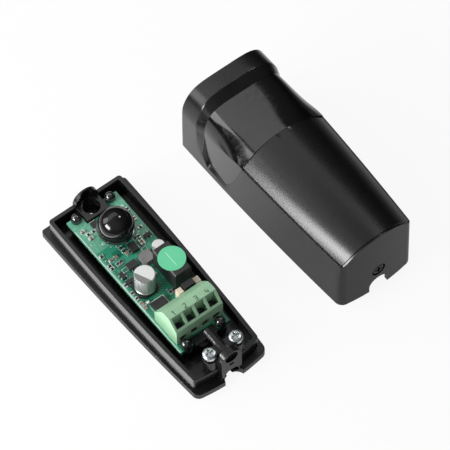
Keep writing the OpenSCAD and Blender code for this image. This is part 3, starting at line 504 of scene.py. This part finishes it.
WINDOW_Y1 = HOOD_Y - HOOD_SLOPE
WINDOW_Y0 = WINDOW_Y1 - WINDOW_LEN
SILL_REAR_Y = WINDOW_Y0 + WINDOW_LEN * 0.43
SILL_FRONT_Y = WINDOW_Y0 + WINDOW_LEN * 0.764
SILL_REAR_POWER, SILL_FRONT_POWER, BAND_POWER, SILL_BAND = 1.45, 4.2, 2.5, 1.3
HOOD_SWEEP, HOOD_FALL, END_DRAFT, END_DRAFT_FROM, CREST_CLEAR = 0.8, 1.0, 1.1, 0.9, 2.2
OVER_TOP = SIDE_H + CROWN_H + HOOD_CROWN_H
COVER_SCREW_Z, SCREW_BORE_R, SCREW_HEAD_R, SCREW_HEAD_DEPTH = 15 - 2.8, 1.5, 3, 1.3
BOSS_R, BOSS_LEN, SPIGOT_R, SPIGOT_LEN = 4, 0.3, 2.5, 1.3
COVER_NOTCH_R, COVER_NOTCH_Z, COVER_NOTCH_PAST = 4.2, 2.8, 2.1
ARCH_STEPS = 48
COVER_SHARP_ANGLE, COVER_WELD = 28, 0.000002

# Only here: a ledge along the crest up to the window, and along the top of the cable end
LEDGE_W, LEDGE_H, LEDGE_END, LEDGE_NONE, LEDGE_POWER = 0.75, 0.5, 0.02, 0.005, 0.25


def clamp01(v):
    return max(0.0, min(1.0, v))


def ease(v):
    u = clamp01(v)
    return u * u * (3 - 2 * u)


def mix(a, b, u):
    return a + (b - a) * u


def half_width(y, y0, y1, w0, w1, bow):
    s = (y - y0) / (y1 - y0)
    return w0 / 2 + (w1 - w0) / 2 * s + bow * 4 * s * (1 - s)


def hood_blend(y):
    return ease((y - WINDOW_Y0) / (WINDOW_Y1 - WINDOW_Y0))


def tuck(y, side):
    """How far the skin is drawn in below the hood, 0 to 1."""
    if y <= WINDOW_Y1:
        return clamp01((y - WINDOW_Y0) / (WINDOW_Y1 - WINDOW_Y0)) ** TUCK_POWER
    sweep = HOOD_SWEEP * side * side
    return clamp01((HOOD_Y - sweep - y) / (HOOD_SLOPE - sweep))


def upright(y):
    """Height of the upright side, where the arch starts."""
    return mix(SIDE_H, HOOD_SIDE_H, hood_blend(y))


def sill(y):
    """Height of the window's lower edge on the side."""
    rise = max(clamp01((SILL_REAR_Y - y) / (SILL_REAR_Y - WINDOW_Y0)) ** SILL_REAR_POWER,
               clamp01((y - SILL_FRONT_Y) / (WINDOW_Y1 - SILL_FRONT_Y)) ** SILL_FRONT_POWER)
    return mix(WINDOW_SILL, upright(y), rise)


def band(y):
    """Height where the drawn-in skin starts, a band below the sill."""
    end_y = HOOD_Y - HOOD_SWEEP
    rise = clamp01((y - SILL_FRONT_Y) / (end_y - SILL_FRONT_Y)) ** BAND_POWER
    return min(sill(y) - SILL_BAND, mix(WINDOW_SILL - SILL_BAND, upright(y), rise))


def crown_top(y):
    return (upright(y) + mix(CROWN_H, HOOD_CROWN_H, hood_blend(y))
            - HOOD_FALL * max(0.0, (y - HOOD_Y) / HOOD_LEN))


def half_section(y, t, bottom):
    """The right half of the cross-section at y, t inside the outer skin. Only the skin has the ledge."""
    w = half_width(y, COVER_Y0, COVER_Y1, CABLE_W, LENS_W, SIDE_BOW) - t
    low = min(sill(y), upright(y) - CREST_CLEAR)
    band_z = min(band(y), low - (SILL_BAND if y > WINDOW_Y1 else SILL_BAND / 2))
    pull = tuck(y, 1) * WINDOW_TUCK
    crest_x = w - pull - upright(y) * DRAFT
    power = mix(BODY_POWER, HOOD_POWER, hood_blend(y))
    roundness = mix(BODY_ROUND, HOOD_ROUND, hood_blend(y))
    points = [(w, bottom)]
    points += [(w - mix(bottom, band_z, u) * DRAFT, mix(bottom, band_z, u)) for u in (0.5, 1.0)]
    points += [(w - pull - mix(low, upright(y), u) * DRAFT, mix(low, upright(y), u))
               for u in (0, 0.25, 0.5, 0.75)]
    if t == 0:
        points += [(crest_x + LEDGE_H * DRAFT, upright(y) - LEDGE_H)]
        crest_x -= LEDGE_W if y < WINDOW_Y0 - LEDGE_END / 2 else LEDGE_NONE
        points += [(crest_x, upright(y) - LEDGE_H)]
    for i in range(ARCH_STEPS + 1):
        side = math.cos(math.pi / 2 * i / ARCH_STEPS)
        arch = clamp01(1 - side ** power) ** roundness
        top = crown_top(y) - tuck(y, side) * WINDOW_DROP * arch - t
        x = crest_x * side
        end_y = COVER_Y0 + END_BOW * (x / (CABLE_W / 2 - CABLE_R)) ** 2 + LEDGE_W
        step = LEDGE_H * arch ** LEDGE_POWER if t == 0 and y < end_y else 0
        points.append((x, upright(y) + (top - upright(y)) * arch - step))
    return points


def stations():
    """Where the cross-sections stand along Y: close at the ledge, the window and the hood."""
    ys = [COVER_Y0 - 1]
    ys += [COVER_Y0 + 0.12 * i for i in range(21)]
    ys += [mix(COVER_Y0 + 2.6, WINDOW_Y0, i / 24) for i in range(24)]
    ys += [WINDOW_Y0 - LEDGE_END]
    ys += [mix(WINDOW_Y0, SILL_FRONT_Y, i / 48) for i in range(48)]
    ys += [mix(SILL_FRONT_Y, WINDOW_Y1, i / 32) for i in range(32)]
    ys += [mix(WINDOW_Y1, HOOD_Y, i / 20) for i in range(21)]
    ys += [mix(HOOD_Y, COVER_Y1, u) for u in (0.25, 0.5, 0.75, 1.0)]
    return ys + [COVER_Y1 + 1]


def loft(t, bottom):
    """The cover's skin through all stations, closed at both ends and below."""
    verts, faces = [], []
    rings = []
    for y in stations():
        half = half_section(y, t, bottom)
        ring = half + [(-x, z) for x, z in reversed(half[:-1])]
        rings.append(range(len(verts), len(verts) + len(ring)))
        verts += [(x, y, z) for x, z in ring]
    n = len(rings[0])
    for a, b in zip(rings, rings[1:]):
        faces += [[a[k], a[(k + 1) % n], b[(k + 1) % n], b[k]] for k in range(n)]
    faces.append(list(rings[0]))
    faces.append(list(reversed(rings[-1])))
    return verts, faces


def half_outline(t):
    """The right half of the cover's outline in plan, t inside the outer one."""
    y0, y1 = COVER_Y0 + t, COVER_Y1 - t
    w0, w1 = CABLE_W - 2 * t, LENS_W - 2 * t
    r0, r1 = CABLE_R - t, LENS_R / (2 if t > 0 else 1)
    low, high = y0 + END_BOW + r0, y1 - r1
    x_low = half_width(low, y0, y1, w0, w1, SIDE_BOW) - r0
    x_high = half_width(high, y0, y1, w0, w1, SIDE_BOW) - r1
    points = [(x_low * i / 16, y0 + END_BOW * (i / 16) ** 2) for i in range(16)]
    for i in range(13):
        a = -math.pi / 2 + math.pi / 2 * i / 12
        points.append((x_low + r0 * math.cos(a), low + r0 * math.sin(a)))
    for i in range(1, 40):
        y = mix(low, high, i / 40)
        points.append((half_width(y, y0, y1, w0, w1, SIDE_BOW), y))
    for i in range(13):
        a = math.pi / 2 * i / 12
        points.append((x_high + r1 * math.cos(a), high + r1 * math.sin(a)))
    return points


def outline_prism(t, bottom, top):
    """The plan outline drawn upright. Its lens end leans in towards the top."""
    right = half_outline(t)
    ring = right + [(-x, y) for x, y in reversed(right[1:])]
    lean_from = mix(COVER_Y0, COVER_Y1, END_DRAFT_FROM)
    verts = []
    for z in (bottom, top):
        drawn_in = END_DRAFT * max(0.0, z) / (SIDE_H + CROWN_H)
        for x, y in ring:
            share = clamp01((y - lean_from) / (COVER_Y1 - lean_from))
            verts.append((x, y - drawn_in * share, z))
    return bridge(verts)


def tool(name, shape):
    """A closed solid that carve starts from or uses up."""
    made = new_object(name, shape)
    finish_mesh(made.data)
    return made


def carve(start, steps):
    """Runs each (operation, object) on start in turn and leaves the result as start's own mesh."""
    for operation, other in steps:
        modifier = start.modifiers.new("cut", "BOOLEAN")
        modifier.operation = operation
        modifier.solver = "MANIFOLD"
        modifier.object = other
    graph = bpy.context.evaluated_depsgraph_get()
    mesh = bpy.data.meshes.new_from_object(start.evaluated_get(graph))
    start.modifiers.clear()
    start.data = mesh
    for _, other in steps:
        bpy.data.objects.remove(other)
    return start


def finish_cover(made, name, material, replaces):
    """Moves a carved cover part to its place on the floor and makes it a piece."""
    made.name = name
    made.data.name = name
    made.data.transform(Matrix.Translation(Vector((COVER_X, COVER_Y, 0)) * MM))
    finish_mesh(made.data, COVER_SHARP_ANGLE, COVER_WELD)
    declare(made, material, "cover", replaces)


def cover_blank(name):
    """The whole hollow cover, from which the shell and the window are both cut."""
    inner = carve(tool("inner", loft(SHELL_T, -1)),
                  [("INTERSECT", tool("inner_plan", outline_prism(SHELL_T, -2, OVER_TOP)))])
    return carve(tool(name, loft(0, 0)), [("INTERSECT", tool("outer_plan", outline_prism(0, -1, OVER_TOP))),
                                          ("DIFFERENCE", inner)])


def window_profile(gap):
    """The window from the side, gap smaller all round."""
    ys = [mix(WINDOW_Y0 + gap, WINDOW_Y1 - gap, i / 60) for i in range(61)]
    return [(y, sill(y) + gap) for y in ys] + [(WINDOW_Y1 - gap, OVER_TOP), (WINDOW_Y0 + gap, OVER_TOP)]


def make_cover():
    """The arched shell with its screw tube and its cable notch, and the window let into it."""
    z, notch_r, notch_z = COVER_SCREW_Z, COVER_NOTCH_R, COVER_NOTCH_Z
    outside, inner_y, head_y = COVER_Y0 - 1, COVER_Y0 + SHELL_T, COVER_Y0 + SCREW_HEAD_DEPTH
    past_inner = inner_y + COVER_NOTCH_PAST
    shell = carve(cover_blank("shell"), [
        ("DIFFERENCE", tool("window_cut", prism_x(window_profile(0), -LENS_W, LENS_W))),
        ("UNION", tool("boss", rod_y(0, z, BOSS_R, inner_y - 0.05, inner_y + BOSS_LEN))),
        ("UNION", tool("spigot", rod_y(0, z, SPIGOT_R, inner_y, inner_y + SPIGOT_LEN))),
        ("DIFFERENCE", tool("bore", rod_y(0, z, SCREW_BORE_R, outside, inner_y + SPIGOT_LEN + 1))),
        ("DIFFERENCE", tool("counterbore", rod_y(0, z, SCREW_HEAD_R, outside, head_y))),
        ("DIFFERENCE", tool("notch", box_mesh(-notch_r, notch_r, outside, past_inner, -1, notch_z))),
        ("DIFFERENCE", tool("notch_arch", rod_y(0, notch_z, notch_r, outside, past_inner))),
    ])
    finish_cover(shell, "cover_shell_fine", cover_look, ["cover_shell"])
    window = carve(cover_blank("window"), [
        ("INTERSECT", tool("window_keep", prism_x(window_profile(WINDOW_GAP), -LENS_W, LENS_W)))])
    finish_cover(window, "cover_window_fine", window_look, ["cover_window"])


# How far the smooth pieces stay inside the nodes that they replace
INSET = 0.01


def make_lens():
    """The domed lens, hollow, with a short skirt."""
    wall, skirt, skirt_top = 1.3, 1.1, 0.7
    low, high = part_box("lens_dome")
    r = (high[0] - low[0]) / 2 / MM
    inner = r - wall
    hollow = [(0, inner)] + quarter(inner, 24)[::-1] + [(inner, -skirt)]
    dome = [(r - INSET, -skirt), (r - INSET, -skirt_top)]
    dome += [(out, up - INSET) for out, up in quarter(r, 48)] + [(0, r - INSET)]
    shape = lathe(hollow + dome, *centre_of("lens_dome"), high[2] / MM - r, 96)
    add_piece("lens_dome_smooth", shape, lens_look, 50, ["lens_dome"])


def make_pins():
    """The four push pins: a shank through the board and a round head on a short cylinder."""
    low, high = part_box("board_pins")
    head_r, shank_r, head_h = 2.1, 0.9, 3.3
    r = head_r - 2 * INSET
    foot, neck = low[2] / MM - BOARD_TOP, head_h - head_r
    profile = [(0, foot), (shank_r, foot), (shank_r, 0), (r, 0), (r, neck / 2)]
    profile += [(out, neck + up) for out, up in quarter(r, 24)] + [(0, neck + r)]
    shape = join([lathe(profile, x, y, BOARD_TOP, 48)
                  for x in (low[0] / MM + head_r, high[0] / MM - head_r)
                  for y in (low[1] / MM + head_r, high[1] / MM - head_r)])
    add_piece("board_pins_smooth", shape, pin_look, 50, ["board_pins"])


# The chips' places, as in the part's source: shares of half the board's width and of its length, and
# whether the part is turned. Sizes are length, width and height
DRIVERS = [(-0.44, 0.3, 0)]
REGULATORS = [(-0.28, 0.575, 0), (0.15, 0.66, 1)]
AMPLIFIERS = [(-0.32, 0.9, 0)]
TRANSISTORS = [(-0.76, 0.555, 1), (0.8, 0.675, 0), (-0.7, 0.505, 0)]
RESISTORS = [
    (-0.86, 0.625, 0), (-0.86, 0.648, 0), (-0.6, 0.63, 1), (-0.46, 0.63, 1), (-0.16, 0.7, 0),
    (-0.16, 0.675, 0), (0.42, 0.7, 1), (0.56, 0.7, 1), (0.8, 0.74, 0), (0.12, 0.325, 1),
    (0.235, 0.325, 1), (-0.89, 0.4, 1), (-0.89, 0.44, 1), (-0.89, 0.5, 1), (-0.86, 0.72, 0),
    (0.88, 0.87, 1), (-0.7, 0.87, 0), (-0.5, 0.87, 0)]
CHIP_CAPACITORS = [
    (-0.7, 0.67, 0), (-0.5, 0.67, 1), (-0.12, 0.65, 1), (0.5, 0.65, 0), (0.5, 0.67, 0),
    (-0.89, 0.36, 1), (0.1, 0.46, 0), (0.1, 0.5, 0), (-0.72, 0.84, 0), (-0.8, 0.9, 0),
    (0.86, 0.8, 1), (-0.89, 0.33, 1)]
LEDS = [(-0.72, 0.345, 0)]
END_PARTS = [((1.6, 0.8, 0.5), RESISTORS), ((1.6, 0.9, 0.8), CHIP_CAPACITORS), ((1.6, 0.9, 0.8), LEDS)]
# Size, places, leads on each side and their pitch
LEAD_PARTS = [((5.4, 3.4, 1.5), DRIVERS, 4, 1.27), ((4, 3, 1.5), REGULATORS, 3, 1.2),
              ((2.6, 2.6, 0.9), AMPLIFIERS, 4, 0.6), ((2.9, 1.6, 1.1), TRANSISTORS, 2, 1.7)]


def on_board(share_x, share_y):
    """The point in plan, in millimetres, that the two shares stand for."""
    return share_x * BOARD_W / 2, BOARD_Y0 + share_y * BOARD_LEN


def turned_box(x, y, turned, u0, u1, v0, v1, z0, z1):
    """A box on the board whose u runs along the part's long side, which is X unless it is turned."""
    z0, z1 = BOARD_TOP + z0, BOARD_TOP + z1
    if turned:
        return box_mesh(x + v0, x + v1, y + u0, y + u1, z0, z1)
    return box_mesh(x + u0, x + u1, y + v0, y + v1, z0, z1)


def make_ends():
    """Metal ends of the small chips, proud of the body by a hair, and the solder pads under them."""
    skin, end, pad, pad_h = 0.03, 0.32, 0.12, 0.06
    parts = []
    for size, places in END_PARTS:
        half, side = size[0] / 2 + skin, size[1] / 2 + skin
        pad_side = side + pad / 2
        for share_x, share_y, turned in places:
            x, y = on_board(share_x, share_y)
            for u0, u1 in ((-half, -half + end), (half - end, half)):
                parts.append(turned_box(x, y, turned, u0, u1, -side, side, 0.01, size[2] + skin))
                parts.append(turned_box(x, y, turned, u0 - pad, u1 + pad, -pad_side, pad_side, 0, pad_h))
    add_piece("chip_ends", join(parts), solder_look)


def make_leads():
    """Gull-wing leads of the black chips: out of the body, down, and a toe on the board."""
    thick, inside = 0.14, 0.05
    drop_from, drop_to, shoulder_to, toe_to = 0.2, 0.34, 0.32, 0.6
    parts = []
    for size, places, count, pitch in LEAD_PARTS:
        half, w, shoulder = size[1] / 2, min(0.2, pitch / 3), size[2] * 0.45
        runs = ((-inside, shoulder_to, shoulder, shoulder + thick),
                (drop_from, drop_to, 0, shoulder + 0.1),
                (drop_from, toe_to, 0.005, thick))
        for share_x, share_y, turned in places:
            x, y = on_board(share_x, share_y)
            for k in range(count):
                u = (k - (count - 1) / 2) * pitch
                for side in (-1, 1):
                    for start, end, z0, z1 in runs:
                        v = sorted((side * (half + start), side * (half + end)))
                        parts.append(turned_box(x, y, turned, u - w, u + w, *v, z0, z1))
    add_piece("chip_leads", join(parts), solder_look)


# Points on the board in millimetres
TEST_PADS = [(-8.6, 34.6), (-8.4, 32.6), (-8.5, 30.7), (-6.1, 25.5), (9.4, 34.4), (7.0, 31.2)]
JOINTS = [(-9.4, 22.0), (-9.6, 19.0), (-7.8, 17.2), (-4.4, 22.6), (-2.6, 21.6), (1.4, 20.4), (0.4, 18.2),
          (4.3, 20.8), (7.4, 21.8), (9.8, 20.6), (9.9, 23.6), (-9.9, 1.4), (-9.8, -1.8), (0.9, -4.6),
          (2.3, -6.2), (-4.4, -12.4), (-8.9, -13.2), (5.4, 24.8), (8.4, 26.6), (-9.8, 27.6)]
SMALL_FRAMES = [(-0.2, 0.43), (0.42, 0.62), (-0.55, 0.58), (0.6, 0.52)]
LONG_LINES = [(3.5, 5.2, 3.5, -9.2, 0.28), (-BOARD_W / 2 + 0.2, -28.8, -BOARD_W / 2 + 0.2, 36.0, 0.3)]
CHIP_LINE_OUT, CHIP_LINE_HALF = 0.75, 0.875
RING_PROFILE = [(0.62, 0.002), (0.62, 0.04), (0.42, 0.04), (0.42, 0.002)]
JOINT_PROFILE = [(0, 0.12), (0.18, 0.1), (0.3, 0.03), (0.34, 0.002), (0, 0.002)]


def strip(x0, y0, x1, y1, width, h=0.03, z=BOARD_TOP):
    """A flat printed line between two points, on the board unless z says otherwise."""
    dx, dy = x1 - x0, y1 - y0
    length = math.hypot(dx, dy)
    ax, ay = -dy / length * width / 2, dx / length * width / 2
    plan = [(x0 + ax, y0 + ay), (x0 - ax, y0 - ay), (x1 - ax, y1 - ay), (x1 + ax, y1 + ay)]
    return bridge([(x, y, z + level) for level in (0.002, h) for x, y in plan])


def frame_lines(x, y, half_x, half_y, width):
    """A printed rectangle round a point."""
    x0, x1, y0, y1 = x - half_x, x + half_x, y - half_y, y + half_y
    return [strip(x0, y0, x1, y0, width), strip(x1, y0, x1, y1, width),
            strip(x1, y1, x0, y1, width), strip(x0, y1, x0, y0, width)]


def make_print():
    """White printed lines round the parts, a ring round each test pad, and solder on pads and joints."""
    lines = [strip(*line) for line in LONG_LINES]
    lines += frame_lines(*on_board(*DRIVERS[0][:2]), 3.4, 2.7, 0.22)
    for share_x, share_y, turned in RESISTORS + CHIP_CAPACITORS:
        x, y = on_board(share_x, share_y)
        for beside in (-CHIP_LINE_OUT, CHIP_LINE_OUT):
            if turned:
                line = (x + beside, y - CHIP_LINE_HALF, x + beside, y + CHIP_LINE_HALF)
            else:
                line = (x - CHIP_LINE_HALF, y + beside, x + CHIP_LINE_HALF, y + beside)
            lines.append(strip(*line, 0.12))
    for shares in SMALL_FRAMES:
        lines += frame_lines(*on_board(*shares), 1.1, 0.8, 0.14)
    rings = [lathe(RING_PROFILE, x, y, BOARD_TOP, 32) for x, y in TEST_PADS]
    add_piece("board_print", join(lines + rings), silk_look)
    solder = [lathe(JOINT_PROFILE, x, y, BOARD_TOP, 20) for x, y in TEST_PADS + JOINTS]
    add_piece("board_joints", join(solder), solder_look)


# Strokes of the numbers 1 to 4, each from x, y to x, y in a unit box
DIGITS = [
    [(0.2, 0.75, 0.55, 1), (0.55, 1, 0.55, 0)],
    [(0, 0.95, 0.9, 0.95), (0.9, 0.95, 0.9, 0.5), (0.9, 0.5, 0, 0.05), (0, 0.05, 1, 0.05)],
    [(0, 0.95, 0.95, 0.95), (0.95, 1, 0.95, 0), (0.25, 0.5, 0.95, 0.5), (0, 0.05, 0.95, 0.05)],
    [(0.1, 1, 0, 0.4), (0, 0.38, 1, 0.38), (0.75, 0.7, 0.75, 0)],
]
DIGIT_W, DIGIT_H, STROKE_W, STROKE_H = 1.2, 2.1, 0.3, 0.02
TERMINAL_X, WAY_PITCH, DIGIT_Y = 0.3, 5.08, 7.9
STICKER_LINE_X, STICKER_LINE_HALF = -0.4, 3.6


def make_numbers():
    """Plain numbers over the four ways and a line on the sticker, where the photograph has words."""
    top = top_of("terminal_housing")
    y0 = BOARD_Y0 + DIGIT_Y
    lines = []
    for way, strokes in enumerate(DIGITS):
        x0 = TERMINAL_X + (way - 1.5) * WAY_PITCH - DIGIT_W / 2
        for a, b, c, d in strokes:
            lines.append(strip(x0 + a * DIGIT_W, y0 + b * DIGIT_H, x0 + c * DIGIT_W, y0 + d * DIGIT_H,
                               STROKE_W, STROKE_H, top))
    add_piece("terminal_numbers", join(lines), number_look)
    x, y = centre_of("relay_sticker")
    x += STICKER_LINE_X
    line = strip(x, y - STICKER_LINE_HALF, x, y + STICKER_LINE_HALF, STROKE_W, STROKE_H,
                 top_of("relay_sticker"))
    add_piece("sticker_line", line, pale_look)


# Floor and surroundings. Lengths are in metres, levels are strengths of light, where 1 is white
FLOOR_HALF, FLOOR_COLOUR, FLOOR_ROUGH = 1.5, (0.82, 0.82, 0.82), 0.9
FLOOR_SEEN_SHARE = 0.9
FLOOR_FADE_FROM, FLOOR_FADE_TO, FLOOR_FAR = 0.12, 0.22, 0.04
FLOOR_BY_BASE, FLOOR_BY_COVER = 0.9, (0.45, 1.0)
BASE_SIDE_X, COVER_SIDE_X = -0.005, 0.03
CABLE_END_Y, LENS_END_Y = -0.01, 0.045
UNDER_BASE_X, UNDER_BASE_Y = 0.0145, 0.0425
SKY_LOW, SKY_HIGH, SKY_RISE = 0.03, 0.28, (0.12, 0.75)
SKY_RIGHT, SKY_TURN, ROOM_LEVEL = 0.25, (-0.3, 0.6), 0.34


def make_floor():
    """White to the camera, and it keeps the object's shadow. Mirrors see it glow near the object."""
    mesh = bpy.data.meshes.new("floor")
    h = FLOOR_HALF
    mesh.from_pydata([(-h, -h, 0), (h, -h, 0), (h, h, 0), (-h, h, 0)], [], [[0, 1, 2, 3]])
    floor = bpy.data.objects.new("floor", mesh)
    bpy.context.scene.collection.objects.link(floor)
    look = Look("floor")
    look.set(Base_Color=FLOOR_COLOUR, Roughness=FLOOR_ROUGH, Specular_IOR_Level=0.0)
    x, y, _ = look.split(look.place)
    distance = look.vector_math("LENGTH", look.place)["Value"]
    fade = look.between(distance, 1.0, FLOOR_FAR, FLOOR_FADE_FROM, FLOOR_FADE_TO, smooth=True)
    by_cover = look.between(y, *FLOOR_BY_COVER, CABLE_END_Y, LENS_END_Y)
    near = look.between(x, FLOOR_BY_BASE, by_cover, BASE_SIDE_X, COVER_SIDE_X)
    glossy = look.ray("Glossy")
    level = look.between(glossy, 1.0, look.math("MULTIPLY", fade, near))
    glow = look.node("ShaderNodeEmission", Color=(1, 1, 1), Strength=level)
    beside = look.math("MAXIMUM", look.math("GREATER_THAN", look.math("ABSOLUTE", x), UNDER_BASE_X),
                       look.math("GREATER_THAN", look.math("ABSOLUTE", y), UNDER_BASE_Y))
    seen = look.math("MULTIPLY", look.math("MAXIMUM", look.seen_straight(), glossy), beside)
    both = look.node("ShaderNodeMixShader")
    for socket, value in zip(both.inputs, (look.math("MULTIPLY", seen, FLOOR_SEEN_SHARE),
                                           look.shader.outputs[0], glow.outputs[0])):
        look.feed(socket, value)
    look.feed(look.tree.nodes["Material Output"].inputs["Surface"], both.outputs[0])
    mesh.materials.append(look.material)


def make_world():
    """A dim room. The camera sees white, and mirrors see a grey sky, darker low down and on the right."""
    world = bpy.data.worlds.new("world")
    bpy.context.scene.world = world
    world.use_nodes = True
    sky = Nodes(world.node_tree)
    x, _, z = sky.split(sky.coordinates("Generated"))
    mirrored = sky.math("MULTIPLY", sky.between(z, SKY_LOW, SKY_HIGH, *SKY_RISE, smooth=True),
                        sky.between(x, 1.0, SKY_RIGHT, *SKY_TURN, smooth=True))
    room = sky.between(sky.ray("Glossy"), ROOM_LEVEL, mirrored)
    background = sky.tree.nodes["Background"]
    sky.feed(background.inputs["Color"], (1, 1, 1))
    sky.feed(background.inputs["Strength"], sky.between(sky.seen_straight(), room, 1.0))


def add_lamp(name, place, rotation, size_x, size_y, radiance):
    """A rectangular lamp that looks as bright as radiance says, whatever its size."""
    data = bpy.data.lights.new(name, "AREA")
    data.shape = "RECTANGLE"
    data.size = size_x
    data.size_y = size_y
    data.energy = radiance * math.pi * size_x * size_y
    lamp = bpy.data.objects.new(name, data)
    lamp.location = place
    lamp.rotation_euler = rotation
    bpy.context.scene.collection.objects.link(lamp)


def add_panel(name, place, aim, size_x, size_y, radiance):
    """A lamp that faces the point aim. Places and sizes are in metres."""
    rotation = (Vector(aim) - Vector(place)).to_track_quat("-Z", "Y").to_euler()
    add_lamp(name, place, rotation, size_x, size_y, radiance)


make_camera()
make_cover()
make_lens()
make_pins()
make_ends()
make_leads()
make_print()
make_numbers()
make_floor()
make_world()
add_panel("left_panel", (-0.5, 0.06, 0.24), (0.5, 0.06, 0.24), 0.32, 0.17, 23)
add_panel("overhead_panel", (-0.025, 0.39, 0.5), (-0.025, 0.3901, 0), 0.65, 0.38, 1.1)
add_panel("back_panel", (-0.46, 0.5, 0.36), (0, 0, 0), 0.34, 0.42, 3.6)
# Lies on the floor beside the tray, faces up and is turned to follow the tray's left side
add_lamp("floor_strip", (-0.031, 0.008, 0.0004), (math.pi, 0, math.radians(2.1)), 0.018, 0.11, 3.8)
add_panel("spot_panel", (0.27, 0.055, 0.48), (0, 0, 0), 0.08, 0.08, 15)

bpy.context.scene.view_settings.view_transform = "Standard"
